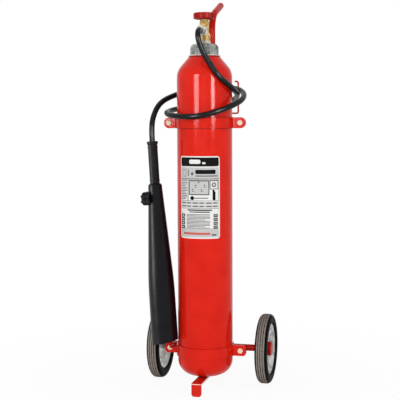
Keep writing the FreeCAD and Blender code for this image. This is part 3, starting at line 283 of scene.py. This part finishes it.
# ------------------------------------------------------------ materials
def linear(code):
    """An sRGB hex colour as a linear one."""
    parts = [int(code[i:i + 2], 16) / 255 for i in (1, 3, 5)]
    return [c / 12.92 if c <= 0.04045 else ((c + 0.055) / 1.055) ** 2.4 for c in parts] + [1]


def add_node(tree, kind, sockets=None, **settings):
    """Add a shader node with its settings, and its sockets' values or links."""
    item = tree.nodes.new("ShaderNode" + kind)
    for key, value in settings.items():
        setattr(item, key, value)
    for key, value in (sockets or {}).items():
        if isinstance(value, bpy.types.NodeSocket):
            tree.links.new(value, item.inputs[key])
        else:
            item.inputs[key].default_value = value
    return item.outputs


def new_material(name):
    """An empty material, its node tree and the point on the piece."""
    material = bpy.data.materials.new(name)
    material.use_nodes = True
    tree = material.node_tree
    tree.nodes.clear()
    return material, tree, add_node(tree, "TexCoord")["Object"]


def close_material(tree, surface):
    """Send a shader to the material's output."""
    add_node(tree, "OutputMaterial", {"Surface": surface})


def gloss_enamel(name, deep, light, rough, gleam, seams=()):
    """Stoved gloss enamel: an even deep red with a faint orange peel, and painted shade along the seams,
    a dark red line where each band meets the shell.
    """
    material, tree, here = new_material(name)
    cloud = add_node(tree, "TexNoise", {"Vector": here, "Scale": 1 / (60 * MM), "Detail": 3})["Fac"]
    tone = add_node(tree, "MapRange", {"Value": cloud, "From Min": 0.35, "From Max": 0.65})["Result"]
    paint = add_node(tree, "Mix", {"Factor": tone, 6: linear(deep), 7: linear(light)},
                     data_type="RGBA")[2]
    height = add_node(tree, "SeparateXYZ", {"Vector": here})["Z"]
    # Painted shade: each band edge is darkened to a dark red line, which stands in for the shadow in the
    # gap between band and shell.
    for seam, seam_shade_strength in seams:
        edge = add_node(tree, "Math", {0: height, 1: seam}, operation="SUBTRACT")["Value"]
        away = add_node(tree, "Math", {0: edge}, operation="ABSOLUTE")["Value"]
        seam_shade = add_node(tree, "MapRange", {"Value": away, "From Min": 0.5 * MM, "From Max": 1.8 * MM,
                                            "To Min": seam_shade_strength, "To Max": 0.0})["Result"]
        paint = add_node(tree, "Mix", {"Factor": seam_shade, 6: paint, 7: linear("#5A0C08")},
                         data_type="RGBA")[2]
    smear = add_node(tree, "TexNoise", {"Vector": here, "Scale": 1 / (14 * MM), "Detail": 5})["Fac"]
    gloss = add_node(tree, "MapRange", {"Value": smear, "From Min": 0.3, "From Max": 0.75,
                                        "To Min": rough, "To Max": rough + 0.06})["Result"]
    # The peel is drawn at 3 mm, coarser than the real one, so that it breaks the highlights.
    peel = add_node(tree, "TexNoise", {"Vector": here, "Scale": 1 / (3 * MM), "Detail": 1})["Fac"]
    normal = add_node(tree, "Bump", {"Height": peel, "Distance": 0.01 * MM, "Strength": 0.5})["Normal"]
    close_material(tree, add_node(tree, "BsdfPrincipled", {
        "Base Color": paint, "Roughness": gloss, "Normal": normal, "IOR": 1.5,
        "Specular IOR Level": gleam})["BSDF"])
    return material


def enamel_with_painted_highlight(name, low, high, code):
    """Red enamel with a painted highlight along one edge, between two heights: a pale, half-metallic line
    broken up like chipped enamel.
    """
    material, tree, here = new_material(name)
    height = add_node(tree, "SeparateXYZ", {"Vector": here})["Z"]
    # This noise only breaks up the edge of the painted highlight.
    highlight_breakup = add_node(tree, "TexNoise", {"Vector": here, "Scale": 1 / (4 * MM), "Detail": 3})["Fac"]
    edge = add_node(tree, "Math", {0: height, 1: (low + high) / 2}, operation="SUBTRACT")["Value"]
    away = add_node(tree, "Math", {0: edge}, operation="ABSOLUTE")["Value"]
    level = add_node(tree, "MapRange", {"Value": away, "From Max": (high - low) / 2, "To Min": 1.0,
                                        "To Max": 0.1})["Result"]
    amount = add_node(tree, "Math", {0: level, 1: highlight_breakup}, operation="ADD")["Value"]
    painted_highlight = add_node(tree, "MapRange", {"Value": amount, "From Min": 0.9, "From Max": 1.05})["Result"]
    # Painted highlight: the pale colour along the edge stands in for light glinting off it, not bare
    # steel.
    paint = add_node(tree, "Mix", {"Factor": painted_highlight, 6: linear(code), 7: linear("#F3E4D8")},
                     data_type="RGBA")[2]
    gloss = add_node(tree, "MapRange", {"Value": painted_highlight, "To Min": 0.16, "To Max": 0.4})["Result"]
    metal = add_node(tree, "MapRange", {"Value": painted_highlight, "To Max": 0.5})["Result"]
    close_material(tree, add_node(tree, "BsdfPrincipled", {
        "Base Color": paint, "Metallic": metal, "Roughness": gloss, "IOR": 1.5,
        "Specular IOR Level": 0.15})["BSDF"])
    return material


def plated_steel(name, dull, bright, rough, cloud_mm, grain_mm, metal_share=1.0):
    """Plated machined or pressed steel: pale grey or dark, with cloudy patches of tarnish."""
    material, tree, here = new_material(name)
    cloud = add_node(tree, "TexNoise", {"Vector": here, "Scale": 1 / (cloud_mm * MM), "Detail": 5,
                                        "Roughness": 0.62})["Fac"]
    tone = add_node(tree, "MapRange", {"Value": cloud, "From Min": 0.32, "From Max": 0.68})["Result"]
    metal = add_node(tree, "Mix", {"Factor": tone, 6: linear(dull), 7: linear(bright)},
                     data_type="RGBA")[2]
    gloss = add_node(tree, "MapRange", {"Value": tone, "To Min": rough + 0.14, "To Max": rough})["Result"]
    grain = add_node(tree, "TexNoise", {"Vector": here, "Scale": 1 / (grain_mm * MM), "Detail": 3})["Fac"]
    normal = add_node(tree, "Bump", {"Height": grain, "Distance": 0.04 * MM, "Strength": 0.5})["Normal"]
    close_material(tree, add_node(tree, "BsdfPrincipled", {
        "Base Color": metal, "Metallic": metal_share, "Roughness": gloss, "Normal": normal})["BSDF"])
    return material


def cast_collar():
    """Tumbled zinc casting of the collar nut: mottled dull grey with soft pits."""
    material, tree, here = new_material("tumbled_zinc_casting")
    cloud = add_node(tree, "TexNoise", {"Vector": here, "Scale": 1 / (15 * MM), "Detail": 5,
                                        "Roughness": 0.6})["Fac"]
    tone = add_node(tree, "MapRange", {"Value": cloud, "From Min": 0.35, "From Max": 0.65})["Result"]
    metal = add_node(tree, "Mix", {"Factor": tone, 6: linear("#464C49"), 7: linear("#B6BAB6")},
                     data_type="RGBA")[2]
    gloss = add_node(tree, "MapRange", {"Value": cloud, "From Min": 0.3, "From Max": 0.7,
                                        "To Min": 0.52, "To Max": 0.3})["Result"]
    pits = add_node(tree, "TexNoise", {"Vector": here, "Scale": 1 / (2.5 * MM), "Detail": 4})["Fac"]
    normal = add_node(tree, "Bump", {"Height": pits, "Distance": 0.25 * MM, "Strength": 0.6})["Normal"]
    close_material(tree, add_node(tree, "BsdfPrincipled", {
        "Base Color": metal, "Metallic": 1.0, "Roughness": gloss, "Normal": normal})["BSDF"])
    return material


def turned_brass():
    """Turned brass: warm yellow with brown handling stains and fine tool lines round the axis."""
    material, tree, here = new_material("turned_brass")
    stain = add_node(tree, "TexNoise", {"Vector": here, "Scale": 1 / (13 * MM), "Detail": 5,
                                        "Roughness": 0.6})["Fac"]
    tone = add_node(tree, "MapRange", {"Value": stain, "From Min": 0.34, "From Max": 0.62})["Result"]
    metal = add_node(tree, "Mix", {"Factor": tone, 6: linear("#715324"), 7: linear("#EBC87F")},
                     data_type="RGBA")[2]
    gloss = add_node(tree, "MapRange", {"Value": tone, "To Min": 0.46, "To Max": 0.26})["Result"]
    lines = add_node(tree, "TexWave", {"Vector": here, "Scale": 1 / (12 * MM), "Distortion": 0.4},
                     bands_direction="Z")["Fac"]
    normal = add_node(tree, "Bump", {"Height": lines, "Distance": 0.03 * MM, "Strength": 0.4})["Normal"]
    close_material(tree, add_node(tree, "BsdfPrincipled", {
        "Base Color": metal, "Metallic": 1.0, "Roughness": gloss, "Normal": normal})["BSDF"])
    return material


def moulded_plastic(name, deep, light, rough, spark_mm, gleam):
    """Injection moulding: one even colour, with the fine grain of a spark-eroded mould."""
    material, tree, here = new_material(name)
    cloud = add_node(tree, "TexNoise", {"Vector": here, "Scale": 1 / (28 * MM), "Detail": 4})["Fac"]
    tone = add_node(tree, "MapRange", {"Value": cloud, "From Min": 0.35, "From Max": 0.65})["Result"]
    colour = add_node(tree, "Mix", {"Factor": tone, 6: linear(deep), 7: linear(light)},
                      data_type="RGBA")[2]
    gloss = add_node(tree, "MapRange", {"Value": cloud, "From Min": 0.3, "From Max": 0.7,
                                        "To Min": rough, "To Max": rough + 0.1})["Result"]
    spark = add_node(tree, "TexNoise", {"Vector": here, "Scale": 1 / (spark_mm * MM), "Detail": 2})["Fac"]
    normal = add_node(tree, "Bump", {"Height": spark, "Distance": 0.06 * MM, "Strength": 0.4})["Normal"]
    close_material(tree, add_node(tree, "BsdfPrincipled", {
        "Base Color": colour, "Roughness": gloss, "Normal": normal, "IOR": 1.49,
        "Specular IOR Level": gleam})["BSDF"])
    return material


def black_rubber(name, deep, light, rough):
    """Extruded black rubber: satin, with a faint grey bloom and scuffs."""
    material, tree, here = new_material(name)
    bloom = add_node(tree, "TexNoise", {"Vector": here, "Scale": 1 / (20 * MM), "Detail": 6,
                                        "Roughness": 0.65})["Fac"]
    tone = add_node(tree, "MapRange", {"Value": bloom, "From Min": 0.35, "From Max": 0.7})["Result"]
    colour = add_node(tree, "Mix", {"Factor": tone, 6: linear(deep), 7: linear(light)},
                      data_type="RGBA")[2]
    gloss = add_node(tree, "MapRange", {"Value": tone, "To Min": rough, "To Max": rough + 0.14})["Result"]
    skin = add_node(tree, "TexNoise", {"Vector": here, "Scale": 1 / (1.5 * MM), "Detail": 3})["Fac"]
    normal = add_node(tree, "Bump", {"Height": skin, "Distance": 0.03 * MM, "Strength": 0.4})["Normal"]
    close_material(tree, add_node(tree, "BsdfPrincipled", {
        "Base Color": colour, "Roughness": gloss, "Normal": normal, "IOR": 1.52,
        "Specular IOR Level": 0.16})["BSDF"])
    return material


def tyre_rubber():
    """Solid rubber tyre: black ribbed walls, and a tread worn to a dusty grey-brown."""
    material, tree, here = new_material("worn_tyre_rubber")
    parts = add_node(tree, "SeparateXYZ", {"Vector": here})
    flat = add_node(tree, "CombineXYZ", {"Y": parts["Y"], "Z": parts["Z"]})["Vector"]
    reach = add_node(tree, "VectorMath", {0: flat, 1: (0, AXLE.y, AXLE.z)}, operation="DISTANCE")["Value"]
    grit = add_node(tree, "TexNoise", {"Vector": here, "Scale": 1 / (5 * MM), "Detail": 6,
                                       "Roughness": 0.7})["Fac"]
    dust = add_node(tree, "MapRange", {"Value": grit, "From Min": 0.3, "From Max": 0.68})["Result"]
    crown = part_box("tyre_left")[1].z - AXLE.z
    worn = add_node(tree, "MapRange", {"Value": reach, "From Min": crown - 2.0 * MM,
                                       "From Max": crown - 1.1 * MM})["Result"]
    wall = add_node(tree, "Mix", {"Factor": dust, 6: linear("#070707"), 7: linear("#121110")},
                    data_type="RGBA")[2]
    tread = add_node(tree, "Mix", {"Factor": dust, 6: linear("#665F59"), 7: linear("#968F88")},
                     data_type="RGBA")[2]
    colour = add_node(tree, "Mix", {"Factor": worn, 6: wall, 7: tread}, data_type="RGBA")[2]
    gloss = add_node(tree, "MapRange", {"Value": worn, "To Min": 0.46, "To Max": 0.8})["Result"]
    # Fine ribs of 3 mm run round the walls.
    turns = add_node(tree, "Math", {0: reach, 1: math.tau / (3 * MM)}, operation="MULTIPLY")["Value"]
    ribs = add_node(tree, "Math", {0: turns}, operation="SINE")["Value"]
    height = add_node(tree, "Math", {0: ribs, 1: grit}, operation="ADD")["Value"]
    normal = add_node(tree, "Bump", {"Height": height, "Distance": 0.15 * MM, "Strength": 0.5})["Normal"]
    close_material(tree, add_node(tree, "BsdfPrincipled", {
        "Base Color": colour, "Roughness": gloss, "Normal": normal, "IOR": 1.52,
        "Specular IOR Level": 0.01})["BSDF"])
    return material


def printed_vinyl(name, code):
    """Printed self-adhesive vinyl: an even ink under a thin satin film."""
    material, tree, here = new_material(name)
    mottle = add_node(tree, "TexNoise", {"Vector": here, "Scale": 1 / (2 * MM), "Detail": 3})["Fac"]
    shade = add_node(tree, "MapRange", {"Value": mottle, "To Min": 0.94, "To Max": 1.04})["Result"]
    ink = add_node(tree, "HueSaturation", {"Color": linear(code), "Value": shade})["Color"]
    gloss = add_node(tree, "MapRange", {"Value": mottle, "To Min": 0.34, "To Max": 0.46})["Result"]
    close_material(tree, add_node(tree, "BsdfPrincipled", {
        "Base Color": ink, "Roughness": gloss, "IOR": 1.46, "Specular IOR Level": 0.12})["BSDF"])
    return material


def floor_paper():
    """White paper: it shows plain white to the eye but still takes the object's soft shadow."""
    material, tree, here = new_material("white_floor_paper")
    fibre = add_node(tree, "TexNoise", {"Vector": here, "Scale": 1.2, "Detail": 2})["Fac"]
    paper = add_node(tree, "Mix", {"Factor": fibre, 6: linear("#F2F2F1"), 7: linear("#FAFAF9")},
                     data_type="RGBA")[2]
    lit = add_node(tree, "BsdfPrincipled", {"Base Color": paper, "Roughness": 0.9,
                                            "Specular IOR Level": 0.1})["BSDF"]
    glow = add_node(tree, "Emission", {"Color": (1, 1, 1, 1), "Strength": 1.0})["Emission"]
    away = add_node(tree, "VectorMath", {0: here}, operation="LENGTH")["Value"]
    plain = add_node(tree, "MapRange", {"Value": away, "From Min": 0.25, "From Max": 1.0,
                                        "To Min": 0.93, "To Max": 1.0})["Result"]
    rays = add_node(tree, "LightPath")
    seen = add_node(tree, "Math", {0: rays["Is Camera Ray"], 1: rays["Is Glossy Ray"]},
                    operation="MAXIMUM")["Value"]
    seen = add_node(tree, "Math", {0: seen, 1: rays["Is Transmission Ray"]}, operation="MAXIMUM")["Value"]
    share = add_node(tree, "Math", {0: seen, 1: plain}, operation="MULTIPLY")["Value"]
    close_material(tree, add_node(tree, "MixShader", {0: share, 1: lit, 2: glow})["Shader"])
    return material


def white_world():
    """A dim even sky for the object, plain white to the eye, metal and glass, and the Standard view."""
    world = bpy.data.worlds.new("studio")
    scene.world = world
    world.use_nodes = True
    tree = world.node_tree
    tree.nodes.clear()
    soft = add_node(tree, "Background", {"Color": (1, 1, 1, 1), "Strength": 0.45})["Background"]
    plain = add_node(tree, "Background", {"Color": (1, 1, 1, 1), "Strength": 1.0})["Background"]
    rays = add_node(tree, "LightPath")
    seen = add_node(tree, "Math", {0: rays["Is Camera Ray"], 1: rays["Is Glossy Ray"]},
                    operation="MAXIMUM")["Value"]
    seen = add_node(tree, "Math", {0: seen, 1: rays["Is Transmission Ray"]}, operation="MAXIMUM")["Value"]
    sky = add_node(tree, "MixShader", {0: seen, 1: soft, 2: plain})["Shader"]
    add_node(tree, "OutputWorld", {"Surface": sky})
    scene.view_settings.view_transform = "Standard"


def make_materials():
    """Every finish, by a short name."""
    ring_top, foot_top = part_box("neck_ring")[1].z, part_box("foot")[1].z
    # Painted shade on the shell: how strongly each band's top and bottom edges are darkened.
    seams = [(corner.z, seam_shade_strength) for name, seam_shade_strength in (("upper_band_front", 0.6), ("lower_band_front", 0.1))
             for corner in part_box(name)]
    return {
        "shell": gloss_enamel("gloss_red_enamel", "#CC1B0B", "#D52011", 0.08, 0.11, seams),
        "frame_red": gloss_enamel("red_frame_enamel", "#AE160B", "#C01B10", 0.16, 0.05),
        # Painted highlights: a pale line on the ring's top edge and on the foot's bend.
        "ring": enamel_with_painted_highlight("ring_enamel_painted_highlight", ring_top - 3 * MM, ring_top + 3 * MM, "#7E120C"),
        "foot": enamel_with_painted_highlight("foot_enamel_painted_highlight", foot_top - 4 * MM, foot_top - 1 * MM, "#CC2014"),
        "red_nylon": moulded_plastic("red_moulded_nylon", "#8E100A", "#A6160E", 0.26, 1.2, 0.06),
        "zinc": plated_steel("bright_zinc_plate", "#A3A098", "#E6E3DA", 0.26, 14, 0.8),
        "bolt": plated_steel("yellow_passivated_zinc", "#D9C9A8", "#FBF3DF", 0.42, 3, 0.6, 0.55),
        "black_screw": plated_steel("black_oxide_steel", "#101011", "#2A2A2B", 0.34, 3, 0.6),
        "disc": plated_steel("zinc_pressed_disc", "#84807B", "#D4D4D1", 0.34, 18, 3),
        "tube": plated_steel("drawn_aluminium", "#A4A7AA", "#D4D6D8", 0.32, 12, 0.8),
        "casting": cast_collar(),
        "brass": turned_brass(),
        "horn": moulded_plastic("black_moulded_polythene", "#060509", "#0B0A0F", 0.28, 1.6, 0.17),
        "knob": moulded_plastic("black_moulded_nylon", "#0A0A0B", "#141415", 0.36, 1.0, 0.2),
        "nylon": moulded_plastic("natural_nylon", "#D8D4C4", "#ECE9DC", 0.42, 1.0, 0.3),
        "hose": black_rubber("black_hose_rubber", "#070708", "#101011", 0.18),
        "grip": black_rubber("black_grip_rubber", "#0C0C0D", "#181819", 0.4),
        "tyre": tyre_rubber(),
    }


def paint_nodes(finish):
    """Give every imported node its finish."""
    by_slot = {
        "red_paint": "frame_red", "red_plastic": "red_nylon", "zinc_plate": "zinc", "brass": "brass",
        "white_nylon": "nylon", "copper_foil": "brass", "aluminium_tube": "tube",
        "black_plastic": "knob", "black_rubber": "grip", "tyre": "tyre", "grey_disc": "disc",
    }
    own = {"cylinder": "shell", "neck_ring": "ring", "neck_collar_nut": "casting", "horn": "horn",
           "foot": "foot", "knob_screw": "black_screw"}
    slots = {row["node"]: row["material_slot"] for row in frame["record"]["subparts"]}
    for name, piece in frame["nodes"].items():
        look = own.get(name, by_slot[slots[name]])
        if name.startswith(("band_bolt", "band_nut")):
            look = "bolt"
        elif name.endswith("_band_front"):
            look = "shell"
        piece.data.materials.clear()
        piece.data.materials.append(finish[look])


# ------------------------------------------------------------ label
# The label is drawn flat, in metres from the middle of its width, and then rolled on. Each
# print layer lies a little further out than the one below, so that none of them touch. LEFT
# and RIGHT are the sides of the printed field, just inside the sheet.
WHITE, BLACK, GREY, PALE, RED = range(5)
FILM, TINT, INK, OVER = 0.0003, 0.00042, 0.00054, 0.00066
RULE = 0.0012
LABEL_HALF = math.radians(44.8) * BODY_R
RIGHT = LABEL_HALF - 0.0032
LEFT = -RIGHT
LABEL_LOW, LABEL_HIGH = UPPER_BAND - 0.3255, UPPER_BAND - 0.093
LABEL_TURN = math.radians(0.9)
LABEL_COLUMNS = 30


def panel(bm, left, right, low, high, lift, material, corner=0.0):
    """A flat printed shape on the unrolled front of the cylinder."""
    corners = [bm.verts.new((x, -lift, z))
               for x, z in ((left, low), (right, low), (right, high), (left, high))]
    bm.faces.new(corners).material_index = material
    if corner:
        bmesh.ops.bevel(bm, geom=corners, offset=corner, offset_type="OFFSET", segments=5,
                        affect="VERTICES", profile=0.5, material=-1)


def frame_line(bm, left, right, low, high, wide, lift, material):
    """Four thin printed lines round a box."""
    panel(bm, left, right, low, low + wide, lift, material)
    panel(bm, left, right, high - wide, high, lift, material)
    panel(bm, left, left + wide, low + wide, high - wide, lift, material)
    panel(bm, right - wide, right, low + wide, high - wide, lift, material)


def dot(bm, x, z, radius, lift, material):
    """A flat printed dot on the unrolled front of the cylinder."""
    turned = Matrix.Translation((x, -lift, z)) @ Matrix.Rotation(math.pi / 2, 4, "X")
    made = bmesh.ops.create_circle(bm, cap_ends=True, segments=20, radius=radius, matrix=turned)
    for face in {f for vertex in made["verts"] for f in vertex.link_faces}:
        face.material_index = material


def roll(bm):
    """Cut the flat sheets into narrow columns and roll them round the cylinder."""
    for column in range(1, LABEL_COLUMNS):
        x = LABEL_HALF * (2 * column / LABEL_COLUMNS - 1)
        everything = bm.verts[:] + bm.edges[:] + bm.faces[:]
        bmesh.ops.bisect_plane(bm, geom=everything, plane_co=(x, 0, 0), plane_no=(1, 0, 0))
    for vertex in bm.verts:
        angle = vertex.co.x / BODY_R + LABEL_TURN
        radius = BODY_R - vertex.co.y
        vertex.co = AXIS + Vector((radius * math.sin(angle), -radius * math.cos(angle), vertex.co.z))


def label_heading(bm):
    """A dark bar with one long and one short plain block."""
    panel(bm, LEFT, RIGHT, LABEL_HIGH - 0.0285, LABEL_HIGH - 0.0035, TINT, BLACK, 0.005)
    panel(bm, -0.028, 0.006, LABEL_HIGH - 0.0215, LABEL_HIGH - 0.0095, INK, WHITE, 0.0045)
    panel(bm, 0.011, 0.020, LABEL_HIGH - 0.0220, LABEL_HIGH - 0.0165, INK, WHITE, 0.0015)


def label_strip(bm, top):
    """Two outlined shapes, a dot and a bold block."""
    panel(bm, LEFT, RIGHT, top - 0.0315, top, TINT, PALE)
    frame_line(bm, LEFT + 0.006, LEFT + 0.020, top - 0.026, top - 0.006, RULE, INK, GREY)
    panel(bm, LEFT + 0.027, LEFT + 0.0295, top - 0.024, top - 0.006, INK, GREY)
    dot(bm, LEFT + 0.0405, top - 0.018, 0.0042, INK, GREY)
    panel(bm, LEFT + 0.050, RIGHT - 0.010, top - 0.0185, top - 0.0065, INK, BLACK, 0.003)
    panel(bm, LEFT + 0.050, RIGHT - 0.004, top - 0.0255, top - 0.0225, INK, GREY)
    panel(bm, LEFT, RIGHT, top - 0.0330, top - 0.0315, INK, BLACK)


def label_ruled_block(bm, top):
    """A column of bars, a large picture box and two small ones."""
    frame_line(bm, LEFT, RIGHT, top - 0.060, top, RULE, INK, GREY)
    panel(bm, LEFT + 0.0255, LEFT + 0.0275, top - 0.060, top, INK, GREY)
    for row in range(12):
        length = 0.020 - 0.005 * (row % 4 == 3)
        panel(bm, LEFT + 0.0028, LEFT + 0.0028 + length, top - 0.0046 * row - 0.0050,
              top - 0.0046 * row - 0.0028, INK, GREY)
    frame_line(bm, LEFT + 0.0295, RIGHT - 0.0285, top - 0.043, top - 0.002, 0.0022, OVER, BLACK)
    panel(bm, LEFT + 0.0315, RIGHT - 0.0305, top - 0.041, top - 0.004, TINT, PALE)
    for number in range(5):
        x, z = LEFT + 0.040 + 0.0085 * number, top - 0.034 + 0.0125 * (number % 3)
        panel(bm, x, x + 0.006, z, z + 0.0018, INK, GREY)
        dot(bm, x + 0.002, z + 0.006, 0.0018, INK, BLACK)
    frame_line(bm, RIGHT - 0.0270, RIGHT - 0.0025, top - 0.027, top - 0.002, 0.0018, OVER, BLACK)
    dot(bm, RIGHT - 0.0150, top - 0.0145, 0.0070, INK, GREY)
    dot(bm, RIGHT - 0.0150, top - 0.0145, 0.0042, OVER, PALE)
    panel(bm, RIGHT - 0.0190, RIGHT - 0.0105, top - 0.058, top - 0.033, INK, BLACK, 0.003)
    dot(bm, RIGHT - 0.0165, top - 0.0315, 0.0034, INK, BLACK)
    dot(bm, LEFT + 0.0400, top - 0.0520, 0.0058, INK, BLACK)
    panel(bm, LEFT + 0.044, RIGHT - 0.032, top - 0.0530, top - 0.0505, INK, GREY)


def label_shaded_lines(bm, top):
    """Two shaded lines of bars."""
    for row in range(2):
        base = top - 0.0092 * row
        panel(bm, LEFT, RIGHT, base - 0.0078, base - 0.0006, TINT, PALE)
        for part in range(6):
            left = LEFT + 0.004 + 0.0192 * part
            panel(bm, left, left + 0.0150 - 0.003 * (part % 2), base - 0.0056, base - 0.0028, INK, GREY)


def label_bars(bm, top):
    """A rule and bold lines, then thin bars between a dark column and a grey one."""
    panel(bm, LEFT, RIGHT, top - 0.0012, top, INK, GREY)
    panel(bm, -0.034, 0.038, top - 0.0070, top - 0.0035, INK, BLACK)
    panel(bm, -0.028, 0.032, top - 0.0122, top - 0.0094, INK, BLACK)
    for row in range(11):
        length = 0.070 - 0.014 * (row % 5 == 4)
        base = top - 0.0170 - 0.0038 * row
        panel(bm, -0.038, -0.038 + length, base - 0.0017, base, INK, GREY)
    for row in range(4):
        base = top - 0.0165 - 0.0108 * row
        panel(bm, LEFT + 0.001, LEFT + 0.0145, base - 0.0092, base, INK, BLACK, 0.0012)
        panel(bm, RIGHT - 0.0165, RIGHT - 0.0035, base - 0.0092, base, INK, GREY, 0.0012)
        panel(bm, LEFT + 0.0045, LEFT + 0.0110, base - 0.0060, base - 0.0030, OVER, WHITE)
        panel(bm, RIGHT - 0.0140, RIGHT - 0.0060, base - 0.0052, base - 0.0036, OVER, PALE)


def label_foot(bm):
    """A pale strip with a red bar and a grey one."""
    panel(bm, LEFT, RIGHT, LABEL_LOW + 0.0270, LABEL_LOW + 0.0280, INK, GREY)
    panel(bm, LEFT, RIGHT, LABEL_LOW + 0.0040, LABEL_LOW + 0.0260, TINT, PALE, 0.004)
    panel(bm, LEFT + 0.010, RIGHT - 0.026, LABEL_LOW + 0.0110, LABEL_LOW + 0.0175, INK, RED, 0.002)
    panel(bm, RIGHT - 0.022, RIGHT - 0.008, LABEL_LOW + 0.0085, LABEL_LOW + 0.0130, INK, GREY, 0.001)


def make_label():
    """Generic label: a white sheet with a dark heading, ruled boxes, plain shapes and rows of bars."""
    bm = bmesh.new()
    panel(bm, -LABEL_HALF, LABEL_HALF, LABEL_LOW, LABEL_HIGH, FILM, WHITE, 0.008)
    label_heading(bm)
    top = LABEL_HIGH - 0.0315
    label_strip(bm, top)
    top -= 0.0345
    label_ruled_block(bm, top)
    top -= 0.0615
    label_shaded_lines(bm, top)
    top -= 0.0190
    label_bars(bm, top)
    label_foot(bm)
    roll(bm)
    materials = [printed_vinyl("white_vinyl", "#DFDFDC"), printed_vinyl("black_vinyl_ink", "#0E0C0E"),
                 printed_vinyl("grey_vinyl_ink", "#565658"), printed_vinyl("pale_vinyl_ink", "#BCBCBB"),
                 printed_vinyl("red_vinyl_ink", "#C0605A")]
    put_piece("front_label", bm, "frame", materials, smooth=False)


# ------------------------------------------------------------ welds and rivets
def put_weld(name, spots, radius, enamel):
    """A painted weld bead on the frame: overlapping low drops along a line of spots."""
    bm = bmesh.new()
    for spot in spots:
        bmesh.ops.create_icosphere(bm, subdivisions=2, radius=radius, matrix=Matrix.Translation(spot))
    put_piece(name, bm, "frame", [enamel])


def run(start, end, pitch):
    """Spots at an even pitch from one point to another."""
    count = max(1, round((end - start).length / pitch))
    return [start.lerp(end, step / count) for step in range(count + 1)]


def around(centre, axis, radius, count):
    """Spots round a circle."""
    side = axis.orthogonal().normalized() * radius
    return [centre + Matrix.Rotation(math.tau * step / count, 3, axis) @ side for step in range(count)]


def make_welds(finish):
    """Beads where the spine, the hook, the peg, the foot and the axle are welded on."""
    enamel = finish["frame_red"]
    band_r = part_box("upper_band_rear")[1].y - AXIS.y

    # Two upright beads beside the spine on each band.
    reach = Vector((0, 0, 0.0125))
    spots = []
    for height in (UPPER_BAND, LOWER_BAND + 0.004):
        for side in (-0.0066, 0.0066):
            spot = AXIS + Vector((side, band_r + 0.0012, height))
            spots += run(spot - reach, spot + reach, 0.0016)
    put_weld("spine_welds", spots, 0.0019, enamel)

    # One upright bead on each side of the hook's foot.
    hook_foot, hook_head, hook_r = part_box("hose_hook")[0].z + 0.002, UPPER_BAND + 0.013, band_r + 0.0008
    spots = []
    for angle in (49.4, 52.6):
        turned = math.radians(angle)
        spot = AXIS + Vector((hook_r * math.cos(turned), hook_r * math.sin(turned), 0))
        spots += run(spot + Vector((0, 0, hook_foot)), spot + Vector((0, 0, hook_head)), 0.0013)
    put_weld("hook_welds", spots, 0.0014, enamel)

    # A ring round the peg's root.
    peg_low, peg_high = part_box("horn_peg")
    peg_r = (peg_high.x - peg_low.x) / 2
    root = Vector(((peg_low.x + peg_high.x) / 2, peg_high.y, peg_low.z + peg_r))
    put_weld("peg_weld", around(root + Vector((0, -0.0006, 0)), Vector((0, 1, 0)), 0.0044, 18),
             0.0015, enamel)

    # A bead along each side of the foot's top.
    foot_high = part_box("foot")[1]
    spots = []
    for side in (-1, 1):
        edge = AXIS + Vector((side * (foot_high.x + 0.0004), 0, foot_high.z - 0.0006))
        spots += run(edge + Vector((0, -0.016, 0)), edge + Vector((0, 0.016, 0)), 0.0018)
    put_weld("foot_welds", spots, 0.0021, enamel)

    # Half a ring over the axle on each side of the spine.
    axle_r = (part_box("axle")[1].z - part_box("axle")[0].z) / 2
    spots = []
    for side in (-1, 1):
        for tilt in range(-50, 51, 10):
            lean = math.radians(tilt)
            spots.append(AXLE + Vector((side * 0.0098, -axle_r * math.sin(lean) * 0.95,
                                        axle_r * math.cos(lean))))
    put_weld("axle_welds", spots, 0.0018, enamel)


# The rivet's dome, as (height over the disc, radius) in metres.
RIVET_DOME = [(-0.0004, 0.0046), (0.0004, 0.0046), (0.0016, 0.0038), (0.0025, 0.0022), (0.0028, 0.0)]


def make_rivets(finish):
    """Five domed rivets on each face of each wheel, which hold its two discs together."""
    disc_out, circle_r = 0.0020, 0.0435
    for side, centre in WHEELS.items():
        outward = math.copysign(1, centre.x)
        bm = bmesh.new()
        for sign in (outward, -outward):
            base = centre + Vector((sign * disc_out, 0, 0))
            for spot in around(base, Vector((1, 0, 0)), circle_r, 5):
                round_profile(bm, spot, Vector((sign, 0, 0)), RIVET_DOME, segments=14)
        put_piece("rivets_" + side, bm, "wheel_" + side, [finish["zinc"]])


# ------------------------------------------------------------ stage
def make_floor():
    """A plain white floor under everything."""
    bm = bmesh.new()
    bmesh.ops.create_grid(bm, x_segments=1, y_segments=1, size=14)
    mesh = bpy.data.meshes.new("floor")
    bm.to_mesh(mesh)
    bm.free()
    mesh.materials.append(floor_paper())
    put_object("floor", mesh)


make_camera()
finishes = make_materials()
make_hose(finishes["hose"])
paint_nodes(finishes)
make_label()
make_welds(finishes)
make_rivets(finishes)
light_scene(finishes)
white_world()
make_floor()
